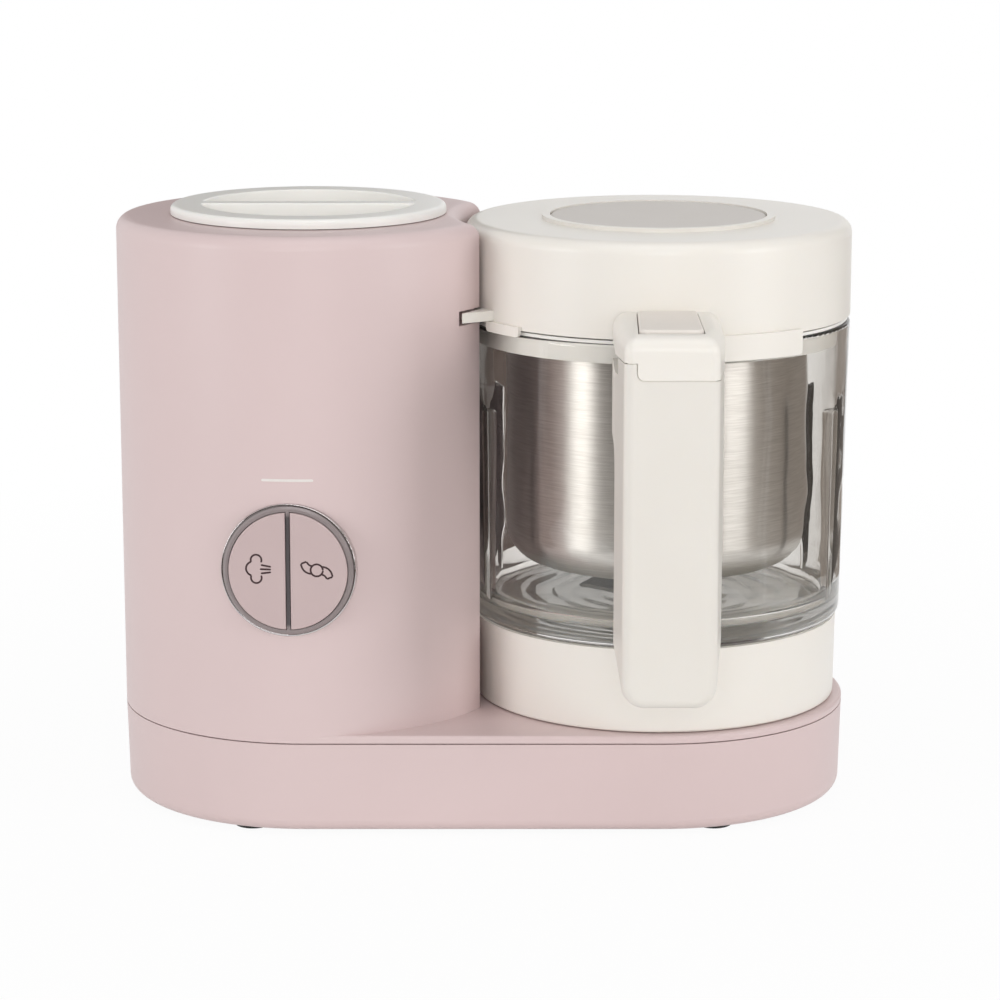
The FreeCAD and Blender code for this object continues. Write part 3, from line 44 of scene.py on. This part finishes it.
# the button faces: swing from straight ahead, distance from the tower's axis, height of their middle
panelLook = {"turnDeg": -3.8, "faceMm": 82.0, "midMm": 111.0}
panelSwing = math.radians(panelLook["turnDeg"])
panelRight = np.array([math.cos(panelSwing), math.sin(panelSwing), 0])
panelOut = np.array([math.sin(panelSwing), -math.cos(panelSwing), 0])
panelMid = np.array([*towerAxis, panelLook["midMm"]]) + panelOut * panelLook["faceMm"]


def linear(hexText):  # sRGB hex to the linear colour that the shaders take, by the standard's own curve
    code = hexText.lstrip("#")
    parts = np.array([int(code[i:i + 2], 16) / 255 for i in (0, 2, 4)])
    parts = np.where(parts <= 0.04045, parts / 12.92, ((parts + 0.055) / 1.055) ** 2.4)
    return tuple(float(p) for p in parts) + (1.0,)


white = linear("#FFFFFF")


def addNode(tree, kind, inputs=None, **settings):  # a node, its settings, then values or links on its sockets
    node = tree.nodes.new("ShaderNode" + kind)
    for name, value in settings.items():
        setattr(node, name, value)
    for name, value in (inputs or {}).items():
        if isinstance(value, bpy.types.NodeSocket):
            tree.links.new(value, node.inputs[name])
        else:
            node.inputs[name].default_value = value
    return node


def startMaterial(name):
    material = bpy.data.materials.new(name)
    material.use_nodes = True
    tree = material.node_tree
    tree.nodes.clear()
    place = addNode(tree, "TexCoord").outputs["Object"]
    return material, tree, place


def endMaterial(tree, shader):
    out = addNode(tree, "OutputMaterial")
    tree.links.new(shader.outputs[0], out.inputs["Surface"])


# what all plastics share: fineness of the two noises, the span of the grain that sets the gloss, the grain's
# height as a share of its width, and how far red, green and blue light sink in
mouldLook = {"cloudDetail": 3.0, "grainDetail": 2.0, "span": (0.3, 0.7), "standing": 0.2, "ior": 1.5,
             "sinkM": (0.002, 0.0015, 0.001)}


def mouldedPlastic(name, look):
    # injection-moulded plastic: cloudy colour drift, spark-eroded tool grain in gloss and relief
    material, tree, place = startMaterial(name)
    cloud = addNode(tree, "TexNoise", {"Vector": place, "Scale": 1 / (look["driftMm"] * mm),
                                       "Detail": mouldLook["cloudDetail"]})
    grain = addNode(tree, "TexNoise", {"Vector": place, "Scale": 1 / (look["grainMm"] * mm),
                                       "Detail": mouldLook["grainDetail"]})
    tint = addNode(tree, "Mix", {"Factor": cloud.outputs["Fac"], "A": linear(look["colour"]),
                                 "B": linear(look["shade"])}, data_type="RGBA")
    low, high = mouldLook["span"]
    gloss = addNode(tree, "MapRange", {"Value": grain.outputs["Fac"], "From Min": low, "From Max": high,
                                       "To Min": look["rough"][0], "To Max": look["rough"][1]})
    relief = addNode(tree, "Bump", {"Height": grain.outputs["Fac"], "Strength": look["relief"],
                                    "Distance": look["grainMm"] * mm * mouldLook["standing"]})
    shader = addNode(tree, "BsdfPrincipled", {
        "Base Color": tint.outputs["Result"], "IOR": mouldLook["ior"], "Roughness": gloss.outputs["Result"],
        "Normal": relief.outputs["Normal"], "Subsurface Weight": look.get("depth", 0.0),
        "Subsurface Radius": mouldLook["sinkM"]})
    endMaterial(tree, shader)
    return material


# what all metals share: fineness of the streaks, the span of them that sets the gloss, their height as a
# share of their width, and the quarter turn that lays the blur across the lines
toolLook = {"detail": 2.0, "span": (0.25, 0.75), "standing": 0.1, "blurTurn": 0.25}


def workedMetal(name, look):
    # metal with tool marks: noise drawn out along the lay, so that lines run across the streak axis
    material, tree, place = startMaterial(name)
    lay = addNode(tree, "Mapping", {"Vector": place, "Scale": tuple(1 / (s * mm) for s in look["streakMm"])})
    streak = addNode(tree, "TexNoise", {"Vector": lay.outputs["Vector"], "Scale": 1.0,
                                        "Detail": toolLook["detail"]})
    tint = addNode(tree, "Mix", {"Factor": streak.outputs["Fac"], "A": linear(look["colour"]),
                                 "B": linear(look["shade"])}, data_type="RGBA")
    low, high = toolLook["span"]
    gloss = addNode(tree, "MapRange", {"Value": streak.outputs["Fac"], "From Min": low, "From Max": high,
                                       "To Min": look["rough"][0], "To Max": look["rough"][1]})
    relief = addNode(tree, "Bump", {"Height": streak.outputs["Fac"], "Strength": look["relief"],
                                    "Distance": min(look["streakMm"]) * mm * toolLook["standing"]})
    shader = addNode(tree, "BsdfPrincipled", {
        "Base Color": tint.outputs["Result"], "Metallic": 1.0, "Roughness": gloss.outputs["Result"],
        "Normal": relief.outputs["Normal"]})
    if "lay" in look:  # lines round the upright axis smear the reflections up and down
        around = addNode(tree, "Tangent", direction_type="RADIAL", axis="Z")
        tree.links.new(around.outputs["Tangent"], shader.inputs["Tangent"])
        shader.inputs["Anisotropic"].default_value = look["lay"]
        shader.inputs["Anisotropic Rotation"].default_value = toolLook["blurTurn"]
    endMaterial(tree, shader)
    return material


def pressedGlass(name, look):
    # clear face on, greyer where the eye looks along the wall. The mould leaves slow swells all over, and
    # rings round the bowl's axis
    material, tree, place = startMaterial(name)
    wave = addNode(tree, "TexNoise", {"Vector": place, "Scale": 1 / (look["waveMm"] * mm),
                                      "Detail": look["waveDetail"]})
    swell = addNode(tree, "Bump", {"Height": wave.outputs["Fac"], "Strength": look["relief"],
                                   "Distance": look["swellMm"] * mm})
    centre = addNode(tree, "Mapping", {"Vector": place, "Location": (*(-bowlAxis * mm), 0.0)})
    ringUnit = math.pi / 10  # how far apart the texture's rings lie at a scale of 1
    rings = addNode(tree, "TexWave", {
        "Vector": centre.outputs["Vector"], "Scale": ringUnit / (look["ringMm"] * mm),
        "Distortion": look["waver"], "Detail": look["ringDetail"], "Detail Scale": look["ringFine"]},
        wave_type="RINGS", rings_direction="Z")
    relief = addNode(tree, "Bump", {"Height": rings.outputs["Fac"], "Strength": look["relief"],
                                    "Distance": look["ridgeMm"] * mm, "Normal": swell.outputs["Normal"]})
    slant = addNode(tree, "LayerWeight", {"Blend": look["blend"]})
    low, high = look["slant"]
    travel = addNode(tree, "MapRange", {"Value": slant.outputs["Facing"], "From Min": low, "From Max": high})
    tint = addNode(tree, "Mix", {"Factor": travel.outputs["Result"], "A": linear(look["colour"]),
                                 "B": linear(look["edge"])}, data_type="RGBA")
    shader = addNode(tree, "BsdfPrincipled", {
        "Base Color": tint.outputs["Result"], "IOR": look["ior"], "Roughness": look["rough"],
        "Transmission Weight": 1.0, "Normal": relief.outputs["Normal"]})
    # lamps reach what is inside
    through = addNode(tree, "BsdfTransparent", {"Color": linear(look["passes"])})
    ray = addNode(tree, "LightPath")
    both = addNode(tree, "MixShader", {0: ray.outputs["Is Shadow Ray"], 1: shader.outputs[0],
                                       2: through.outputs[0]})
    endMaterial(tree, both)
    return material


def lightGuide(name, look):
    # colour by the distance from the middle of the panel, its dark middle painted shade, with a slow cloud
    # from the smoked sheet behind it
    material, tree, place = startMaterial(name)
    fromMid = addNode(tree, "VectorMath", {0: place, 1: tuple(panelMid * mm)}, operation="DISTANCE")
    inner, outer = look["edgeMm"]
    zone = addNode(tree, "MapRange", {"Value": fromMid.outputs["Value"], "From Min": inner * mm,
                                      "From Max": outer * mm})
    cloud = addNode(tree, "TexNoise", {"Vector": place, "Scale": 1 / (look["cloudMm"] * mm),
                                       "Detail": look["cloudDetail"]})
    haze = addNode(tree, "MapRange", {"Value": cloud.outputs["Fac"], "To Min": look["haze"][0],
                                      "To Max": look["haze"][1]})
    # the bar's near-black is painted shade of the empty space behind the sheet
    tint = addNode(tree, "Mix", {"Factor": zone.outputs["Result"], "A": linear(look["bar"]),
                                 "B": linear(look["ring"])}, data_type="RGBA")
    shaded = addNode(tree, "VectorMath", {0: tint.outputs["Result"], "Scale": haze.outputs["Result"]},
                     operation="SCALE")
    shader = addNode(tree, "BsdfPrincipled", {"Base Color": shaded.outputs["Vector"],
                                              "Roughness": look["rough"], "IOR": look["ior"]})
    endMaterial(tree, shader)
    return material


plasticLooks = {
    # pink ABS with a fine satin grain: broad soft highlights
    "pinkAbs": {"colour": "#DCC8C7", "shade": "#D9C4C3", "driftMm": 60, "grainMm": 0.9,
                "rough": (0.37, 0.44), "relief": 0.06},
    # the same ABS on the buttons, from another batch, a shade deeper
    "pinkKey": {"colour": "#C7B3B2", "shade": "#C3AEAD", "driftMm": 25, "grainMm": 0.7,
                "rough": (0.42, 0.52), "relief": 0.12},
    # brown ink of the symbols, printed and cured, nearly matte
    "brownInk": {"colour": "#402629", "shade": "#382124", "driftMm": 2, "grainMm": 0.4,
                 "rough": (0.5, 0.6), "relief": 0.1},
    # cream ABS, a little glossier, warm in the shade
    "creamAbs": {"colour": "#F1EDE6", "shade": "#EEE9E1", "driftMm": 50, "grainMm": 0.9,
                 "rough": (0.30, 0.34), "relief": 0.02, "depth": 0.05},
    # the handle's cover, from another tool: half a shade deeper than the lid
    "creamGrip": {"colour": "#EAE6DF", "shade": "#E6E1D9", "driftMm": 50, "grainMm": 0.9,
                  "rough": (0.31, 0.35), "relief": 0.02, "depth": 0.05},
    # white polypropylene cap and ring: clean, with a soft gloss
    "whitePp": {"colour": "#F9F7F3", "shade": "#F5F3EE", "driftMm": 40, "grainMm": 0.8,
                "rough": (0.31, 0.37), "relief": 0.03, "depth": 0.05},
    # warm grey soft-touch inlay on the lid: dull, with no clear highlight
    "greyTpe": {"colour": "#DCD7D2", "shade": "#D7D1CB", "driftMm": 30, "grainMm": 0.7,
                "rough": (0.50, 0.62), "relief": 0.15},
    # the same inlay material on the lid's key, a lighter batch
    "greyKey": {"colour": "#EDE6DF", "shade": "#E8E1D9", "driftMm": 15, "grainMm": 0.7,
                "rough": (0.48, 0.6), "relief": 0.12},
    # pale silver ink of the line, thick enough to hide the pink below
    "silverInk": {"colour": "#E9E4E0", "shade": "#E2DCD8", "driftMm": 3, "grainMm": 0.4,
                  "rough": (0.35, 0.45), "relief": 0.05},
    # black acetal of hub, dogs and pulleys: dark with a slight sheen
    "blackPom": {"colour": "#2E2D2D", "shade": "#272626", "driftMm": 12, "grainMm": 0.5,
                 "rough": (0.35, 0.48), "relief": 0.1},
    # feet and belt in dark rubber: matte
    "blackRubber": {"colour": "#2B2827", "shade": "#232120", "driftMm": 8, "grainMm": 0.5,
                    "rough": (0.65, 0.8), "relief": 0.3},
    # translucent white silicone seals: milky
    "clearSilicone": {"colour": "#E9E7E3", "shade": "#E2E0DB", "driftMm": 15, "grainMm": 0.6,
                      "rough": (0.45, 0.55), "relief": 0.1, "depth": 0.3},
    # green glass-epoxy laminate of the circuit board: an uneven green under lacquer
    "boardEpoxy": {"colour": "#2C6B45", "shade": "#24593A", "driftMm": 3, "grainMm": 0.7,
                   "rough": (0.3, 0.42), "relief": 0.2},
}
metalLooks = {
    # stainless steel basket, brushed round the drum: fine level lines, blurred upright reflections. The real
    # lines are a few hundredths wide and are drawn ten times as coarse, so that they show
    "brushedStainless": {"colour": "#F4F2EF", "shade": "#BAB6B1", "streakMm": (12, 12, 0.4),
                         "rough": (0.285, 0.335), "relief": 0.02, "lay": 0.75},
    # ground blade steel with cross lines
    "groundSteel": {"colour": "#C9C9C8", "shade": "#B4B4B3", "streakMm": (0.4, 6, 6),
                    "rough": (0.16, 0.28), "relief": 0.15},
    # bright chrome ring: nearly a mirror
    "brightChrome": {"colour": "#CFCBCB", "shade": "#C4C0C0", "streakMm": (5, 5, 5),
                     "rough": (0.05, 0.10), "relief": 0.02},
    # zinc-plated motor can and plate: dull and bluish
    "zincPlate": {"colour": "#B9BCC0", "shade": "#A8ABB0", "streakMm": (6, 6, 2),
                  "rough": (0.3, 0.45), "relief": 0.15},
    # turned brass bushes: yellow, with fine turning lines
    "turnedBrass": {"colour": "#D6B36A", "shade": "#C5A058", "streakMm": (4, 4, 0.4),
                    "rough": (0.22, 0.34), "relief": 0.15},
}
# soda-lime glass pressed in a mould: clear, with greyer edges and a rippled floor
glassLook = {"colour": "#F5F4F2", "edge": "#DFDCD8", "slant": (0.2, 0.6), "blend": 0.5, "passes": "#FDFDFC",
             "rough": 0.0, "ior": 1.5, "relief": 0.5, "waveMm": 28, "waveDetail": 1.0, "swellMm": 1.0,
             "ringMm": 9.0, "ridgeMm": 0.3, "waver": 0.6, "ringDetail": 1.0, "ringFine": 0.5}
# smoked polycarbonate light guide: grey in the ring, near-black in the bar as painted shade of the empty
# space behind it
guideLook = {"ring": "#8F8484", "bar": "#555052", "edgeMm": (21.8, 23.0), "cloudMm": 9, "cloudDetail": 2.0,
             "haze": (0.9, 1.1), "rough": 0.28, "ior": 1.58}

finish = {name: mouldedPlastic(name, look) for name, look in plasticLooks.items()}
finish.update({name: workedMetal(name, look) for name, look in metalLooks.items()})
finish["pressedGlass"] = pressedGlass("pressedGlass", glassLook)
finish["smokedPc"] = lightGuide("smokedPc", guideLook)

nodeFinish = {
    "pinkAbs": ["upper_housing", "base_tray", "cord_gland"],
    "pinkKey": ["steam_button", "blend_button"],
    "creamAbs": ["bowl_base", "lid_shell", "lid_liner"],
    "creamGrip": ["handle_grip", "handle_back"],
    "whitePp": ["filler_neck", "steam_nozzle", "tank_cap", "cap_plug", "panel_carrier", "basket_rim"],
    "greyTpe": ["lid_disc"],
    "greyKey": ["lid_button"],
    "smokedPc": ["light_ring"],
    "blackPom": ["thermostat", "button_switches", "interlock_switch", "motor_pulley", "motor_fan",
                 "driven_pulley", "drive_dog", "blade_dog", "bush_nut", "blade_hub"],
    "blackRubber": ["rubber_feet", "drive_belt"],
    "clearSilicone": ["neck_seal", "steam_pipe", "cap_seal", "bowl_seal", "lid_seal"],
    "boardEpoxy": ["control_board"],
    "brushedStainless": ["steam_basket", "water_tank", "heating_ring"],
    "groundSteel": ["blade_lower", "blade_upper", "blade_shaft", "motor_shaft", "drive_spindle"],
    "brightChrome": ["button_bezel"],
    "zincPlate": ["motor_mount", "motor_body", "base_screws", "mount_screws", "handle_screws"],
    "turnedBrass": ["spindle_bush", "blade_bush"],
    "pressedGlass": ["glass_bowl"],
}
for name, group in nodeFinish.items():
    for node in group:
        nodes[node].data.materials.clear()
        nodes[node].data.materials.append(finish[name])
print("finishes on", sum(len(g) for g in nodeFinish.values()), "nodes")


def meshObject(name, verts, faces, material):
    mesh = bpy.data.meshes.new(name)
    mesh.from_pydata(verts.tolist(), [], faces.tolist())
    mesh.update()
    mesh.materials.append(material)
    thing = bpy.data.objects.new(name, mesh)
    bpy.context.scene.collection.objects.link(thing)
    return thing


def newPiece(name, verts, faces, body, material):
    piece = meshObject(name, verts, faces, material)
    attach(piece, body)


def gridFaces(rows, columns):  # quads between neighbouring rows of a grid, closed round the columns
    row, column = np.meshgrid(np.arange(rows - 1), np.arange(columns), indexing="ij")
    after = (column + 1) % columns
    quads = np.stack([row * columns + column, row * columns + after, (row + 1) * columns + after,
                      (row + 1) * columns + column], axis=-1)
    return quads.reshape(-1, 4)


def sideways(path):  # unit vectors to the left of a flat path: its direction given a quarter turn
    step = np.gradient(path, axis=0)
    step /= np.linalg.norm(step, axis=1, keepdims=True)
    return np.stack([-step[:, 1], step[:, 0]], axis=1)


def inkStroke(path, width, high):
    # a low hump carried along a path: an ellipse across, its width closing as a half circle at both ends
    around, least = 8, 0.02  # points round the ellipse, and the share of the width squared that the tips keep
    run = np.concatenate([[0], np.cumsum(np.linalg.norm(np.diff(path, axis=0), axis=1))])
    fromEnd = np.minimum(np.minimum(run, run[-1] - run) / (width / 2), 1)
    half = width / 2 * np.sqrt(np.clip(1 - (1 - fromEnd) ** 2, least, 1))
    turn = np.linspace(0, 2 * np.pi, around, endpoint=False)
    across = half[:, None] * np.cos(turn)[None]
    rise = np.broadcast_to(high * np.sin(turn)[None], across.shape)
    flat = path[:, None] + sideways(path)[:, None] * across[..., None]
    lids = np.array([[0, 1, 2, 7], [7, 2, 3, 6], [6, 3, 4, 5]])  # three quads close the ring of eight
    lastRing = (len(path) - 1) * around
    faces = np.concatenate([gridFaces(len(path), around), lids[:, ::-1], lids + lastRing])
    return np.concatenate([flat, rise[..., None]], axis=-1), faces


def arcPath(centre, radius, degrees, count):  # part of a circle: the centre plus the radius at each turn
    turn = np.radians(np.linspace(*degrees, count))
    return np.array(centre) + radius * np.stack([np.cos(turn), np.sin(turn)], axis=1)


def bendPath(start, pull, end, count):  # a curve from start to end, drawn towards a third point
    t = np.linspace(0, 1, count)[:, None]
    return (1 - t) ** 2 * np.array(start) + 2 * t * (1 - t) * np.array(pull) + t ** 2 * np.array(end)


# the symbols, in mm in the plane of the buttons. Each edge of a blade runs from tip to root, drawn towards
# the point between them
symbolLook = {"strokeMm": 0.76, "highMm": 0.12, "arcSteps": 40, "bendSteps": 24, "lineSteps": 16}
steamLook = {"atMm": (-11.7, 1.0), "lobe": 2.14, "lobeAt": (-0.86, 3.62), "upperDeg": (-28, 205),
             "lowerDeg": (155, 388), "belly": 2.9, "bellyAt": (-2.0, 0.1), "bellyDeg": (104, 256),
             "jets": [((0.95, 1.65), (5.1, 0.85)), ((0.55, -0.1), (5.1, -0.2)), ((0.95, -1.85), (5.1, -1.3))]}
bladeLook = {"atMm": (11.6, 0.75), "hub": 2.45, "hubDeg": (0, 362), "hubSteps": 60,
             "outer": ((-6.3, 2.55), (-5.63, -1.3), (-2.0, -1.45)),
             "inner": ((-4.02, 3.49), (-3.2, 1.7), (-1.75, 1.72))}


def printedSymbol(name, strokes, at, body):  # strokes drawn in the plane of a button, then set on its face
    verts, faces, count = [], [], 0
    for path in strokes:
        points, quads = inkStroke(path + np.array(at), symbolLook["strokeMm"], symbolLook["highMm"])
        verts.append(points.reshape(-1, 3))
        faces.append(quads + count)
        count += len(verts[-1])
    local = np.concatenate(verts)
    place = panelMid + local[:, :1] * panelRight + local[:, 1:2] * upright + local[:, 2:] * panelOut
    newPiece(name, place * mm, np.concatenate(faces), body, finish["brownInk"])


lobeX, lobeY = steamLook["lobeAt"]
steamStrokes = [
    arcPath((lobeX, lobeY), steamLook["lobe"], steamLook["upperDeg"], symbolLook["arcSteps"]),
    arcPath((lobeX, -lobeY), steamLook["lobe"], steamLook["lowerDeg"], symbolLook["arcSteps"]),
    arcPath(steamLook["bellyAt"], steamLook["belly"], steamLook["bellyDeg"], symbolLook["arcSteps"])]
steamStrokes += [np.linspace(a, b, symbolLook["lineSteps"]) for a, b in steamLook["jets"]]
printedSymbol("steamSymbol", steamStrokes, steamLook["atMm"], "steam_button")
wing = [bendPath(*bladeLook[edge], symbolLook["bendSteps"]) for edge in ("outer", "inner")]
wing.append(np.linspace(bladeLook["outer"][0], bladeLook["inner"][0], symbolLook["lineSteps"]))
hub = arcPath((0, 0), bladeLook["hub"], bladeLook["hubDeg"], bladeLook["hubSteps"])
bladeStrokes = [hub] + wing + [-path for path in wing]
printedSymbol("bladeSymbol", bladeStrokes, bladeLook["atMm"], "blend_button")

# thin silver line above the buttons: a flat hump that follows the round wall of the tower
lineLook = {"fromDeg": -11.5, "toDeg": 3.6, "heightMm": 147.3, "wideMm": 1.05, "highMm": 0.08, "wallMm": 79.0,
            "steps": 60}
turnDeg = np.linspace(lineLook["fromDeg"], lineLook["toDeg"], lineLook["steps"])
arcMm = np.radians(turnDeg) * lineLook["wallMm"]
linePath = np.stack([arcMm, np.full_like(arcMm, lineLook["heightMm"])], axis=1)
points, quads = inkStroke(linePath, lineLook["wideMm"], lineLook["highMm"])
turn, reach = points[..., 0] / lineLook["wallMm"], lineLook["wallMm"] + points[..., 2]
wrapped = np.stack([towerAxis[0] + reach * np.sin(turn), towerAxis[1] - reach * np.cos(turn), points[..., 1]],
                   axis=-1)
newPiece("silverLine", wrapped.reshape(-1, 3) * mm, quads, "unit", finish["silverInk"])

# soft pad on which the lid's beak rests: a thin strip carried along the parting line on the handle's top,
# level on the lip, down its side and level again, with its front edge just inside the handle's rounded face
padLook = {"halfMm": 17.0, "flatMm": 14.0, "edgeMm": 4.0, "sideMm": -13.45, "lipMm": 6.6, "bendMm": 2.85,
           "bendDeg": (180, 270), "thickMm": 0.3, "inMm": 0.45, "deepMm": 6.0,
           "lipSteps": 12, "sideSteps": 8, "bendSteps": 12, "restSteps": 40}
lowest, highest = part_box("handle_grip")
lipLevel = highest[2] / mm + padLook["thickMm"] / 2
restLevel = lipLevel - padLook["lipMm"]
bendX, bendZ = padLook["sideMm"] + padLook["bendMm"], restLevel + padLook["bendMm"]
parting = np.concatenate([
    np.linspace((-padLook["halfMm"], lipLevel), (padLook["sideMm"], lipLevel), padLook["lipSteps"]),
    np.linspace((padLook["sideMm"], lipLevel), (padLook["sideMm"], bendZ), padLook["sideSteps"])[1:],
    arcPath((bendX, bendZ), padLook["bendMm"], padLook["bendDeg"], padLook["bendSteps"])[1:],
    np.linspace((bendX, restLevel), (padLook["halfMm"], restLevel), padLook["restSteps"])[1:]])
over = sideways(parting) * padLook["thickMm"] / 2
under, above = parting - over, parting + over
past = np.clip(np.abs(parting[:, 0]) - padLook["flatMm"], 0, None)
front = lowest[1] / mm + padLook["inMm"] + padLook["edgeMm"] - np.sqrt(padLook["edgeMm"] ** 2 - past ** 2)
back = np.full_like(front, lowest[1] / mm + padLook["deepMm"])
corners = [(under, front), (under, back), (above, back), (above, front)]
strip = np.stack([np.stack([bowlAxis[0] + path[:, 0], along, path[:, 1]], axis=1) for path, along in corners],
                 axis=1)
ends = np.array([[3, 2, 1, 0], [0, 1, 2, 3]]) + np.array([[0], [(len(parting) - 1) * len(corners)]])
padFaces = np.concatenate([gridFaces(len(parting), len(corners)), ends])
newPiece("restPad", strip.reshape(-1, 3) * mm, padFaces, "bowl", finish["creamGrip"])
print("symbols, line and pad set")

# camera fitted to the photograph, its place in metres
cameraLook = {"place": (0.00652, -1.38171, 0.42372), "downDeg": 12.08, "lensMm": 123.57, "sensorMm": 36}
cameraData = bpy.data.cameras.new("camera")
cameraData.lens = cameraLook["lensMm"]
cameraData.sensor_width = cameraLook["sensorMm"]
camera = bpy.data.objects.new("camera", cameraData)
camera.location = cameraLook["place"]
camera.rotation_euler = (math.radians(90 - cameraLook["downDeg"]), 0, 0)
bpy.context.scene.collection.objects.link(camera)
bpy.context.scene.camera = camera


def softbox(name, look):  # white area lamp aimed at a point
    lamp = bpy.data.lights.new(name, "AREA")
    lamp.shape = "RECTANGLE"
    lamp.size, lamp.size_y = look["size"]
    lamp.energy = look["watts"]
    box = bpy.data.objects.new(name, lamp)
    place, aim = np.array(look["place"]), np.array(look["aim"])
    box.location = look["place"]
    box.rotation_euler = Vector(aim - place).to_track_quat("-Z", "Y").to_euler()
    box.visible_glossy = box.visible_transmission = look.get("glare", True)
    bpy.context.scene.collection.objects.link(box)


# places and sizes in metres
lampLooks = {
    "keyLeft": {"place": (-1.41, -0.85, 0.43), "aim": (0, 0, 0.13), "size": (0.54, 0.8), "watts": 7.2},
    "fillRight": {"place": (1.432, -0.892, 0.47), "aim": (0, 0, 0.13), "size": (0.62, 0.88), "watts": 8.5},
    "frontSoft": {"place": (0.03, -2.0, 0.66), "aim": (0.03, 0, 0.12), "size": (0.9, 0.7), "watts": 7.2},
    "topSoft": {"place": (0.1, -0.4, 2.0), "aim": (0.02, 0, 0.15), "size": (1.2, 1.2), "watts": 6},
    # fills the back without a glare on the tops
    "backSoft": {"place": (0.25, 2.1, 0.95), "aim": (0, 0, 0.13), "size": (1.2, 0.8), "watts": 5.5,
                 "glare": False},
}
for name, look in lampLooks.items():
    softbox(name, look)


def seenDirect(tree):  # 1 for camera, mirror and glass rays that have met no matt surface on their way
    halfBounce = 0.5  # between no matt bounce and one
    ray = addNode(tree, "LightPath")
    seen = ray.outputs["Is Camera Ray"]
    for kind in ("Is Glossy Ray", "Is Transmission Ray"):
        seen = addNode(tree, "Math", {0: seen, 1: ray.outputs[kind]}, operation="MAXIMUM").outputs[0]
    clean = addNode(tree, "Math", {0: ray.outputs["Diffuse Depth"], 1: halfBounce}, operation="LESS_THAN")
    return addNode(tree, "Math", {0: seen, 1: clean.outputs[0]}, operation="MULTIPLY").outputs[0]


# white studio: full white where it is seen, dimmer where it lights matt surfaces
worldLook = {"lights": 0.43, "seen": 1.0}
world = bpy.data.worlds.new("studio")
bpy.context.scene.world = world
world.use_nodes = True
sky = world.node_tree
sky.nodes.clear()
ambient = addNode(sky, "Background", {"Color": white, "Strength": worldLook["lights"]})
backdrop = addNode(sky, "Background", {"Color": white, "Strength": worldLook["seen"]})
blend = addNode(sky, "MixShader", {0: seenDirect(sky), 1: ambient.outputs[0], 2: backdrop.outputs[0]})
skyOut = addNode(sky, "OutputWorld")
sky.links.new(blend.outputs[0], skyOut.inputs["Surface"])


def stagePiece(name, verts, faces, material):
    piece = meshObject(name, verts, faces, material)
    return piece


# paper floor: it glows white for the camera, less so near the object, where the shadow has to show
floorLook = {"halfM": 6.0, "colour": "#F4F3F2", "fibre": "#F0EFEE", "fibreMm": 2.5, "fibreDetail": 2.0,
             "glow": (0.95, 1.0), "fadeM": (0.2, 0.7)}
paper, tree, place = startMaterial("paperSweep")
fibre = addNode(tree, "TexNoise", {"Vector": place, "Scale": 1 / (floorLook["fibreMm"] * mm),
                                   "Detail": floorLook["fibreDetail"]})
tint = addNode(tree, "Mix", {"Factor": fibre.outputs["Fac"], "A": linear(floorLook["colour"]),
                             "B": linear(floorLook["fibre"])}, data_type="RGBA")
matte = addNode(tree, "BsdfDiffuse", {"Color": tint.outputs["Result"]})
glow = addNode(tree, "Emission", {"Color": white, "Strength": 1.0})
away = addNode(tree, "VectorMath", {0: place}, operation="LENGTH")
fade = addNode(tree, "MapRange", {"Value": away.outputs["Value"], "From Min": floorLook["fadeM"][0],
                                  "From Max": floorLook["fadeM"][1], "To Min": floorLook["glow"][0],
                                  "To Max": floorLook["glow"][1]})
share = addNode(tree, "Math", {0: seenDirect(tree), 1: fade.outputs["Result"]}, operation="MULTIPLY")
endMaterial(tree, addNode(tree, "MixShader", {0: share.outputs[0], 1: matte.outputs[0], 2: glow.outputs[0]}))
floorCorners = np.array([(-1, -1, 0), (1, -1, 0), (1, 1, 0), (-1, 1, 0)]) * floorLook["halfM"]
stagePiece("floor", floorCorners, np.array([[0, 1, 2, 3]]), paper)

# dark cloths round the studio, seen only in metal and glass: before the object, on its right, and a narrow
# one far behind it, which darkens the edge of the glass: a painted shade in place of the shaded wall of the
# tower seen through it. Each is a sector of a dish: at every turn about the upright axis the same path runs
# out along the floor and then up
flagShape = {"nearM": 0.45, "farM": 2.6, "highM": 2.2, "liftM": 0.004, "steps": 25, "napMm": 10 / 3,
             "napDetail": 2.0}
flagLooks = {
    "frontFlag": {"fromDeg": -72, "toDeg": 68, "colour": "#5E5048", "nap": "#51453E"},
    "sideFlag": {"fromDeg": 70, "toDeg": 150, "colour": "#B8AEA5", "nap": "#ADA39A"},
    # painted shade: a dark sheet seen through the edge of the glass, where the tower's wall lies in shade
    "backShadeFlag": {"fromDeg": 182, "toDeg": 200, "colour": "#5E5048", "nap": "#51453E"},
}


def darkFlag(name, look):
    cloth, tree, place = startMaterial(name + "Cloth")
    nap = addNode(tree, "TexNoise", {"Vector": place, "Scale": 1 / (flagShape["napMm"] * mm),
                                     "Detail": flagShape["napDetail"]})
    tint = addNode(tree, "Mix", {"Factor": nap.outputs["Fac"], "A": linear(look["colour"]),
                                 "B": linear(look["nap"])}, data_type="RGBA")
    endMaterial(tree, addNode(tree, "BsdfDiffuse", {"Color": tint.outputs["Result"]}))
    turn = np.radians(np.linspace(look["fromDeg"], look["toDeg"], flagShape["steps"]))[:, None]
    reach = np.array([flagShape["nearM"], flagShape["farM"], flagShape["farM"]])[None]
    height = np.array([0, 0, flagShape["highM"]])[None] + flagShape["liftM"]
    grid = np.stack(np.broadcast_arrays(reach * np.sin(turn), -reach * np.cos(turn), height), axis=-1)
    rows, columns = grid.shape[:2]
    quads = gridFaces(rows, columns).reshape(-1, columns, 4)[:, :-1]  # the path stays open
    flag = stagePiece(name, grid.reshape(-1, 3), quads.reshape(-1, 4), cloth)
    flag.visible_camera = flag.visible_diffuse = flag.visible_shadow = False


for name, look in flagLooks.items():
    darkFlag(name, look)
print("camera, lamps, floor and flags set")

bpy.context.scene.view_settings.view_transform = "Standard"
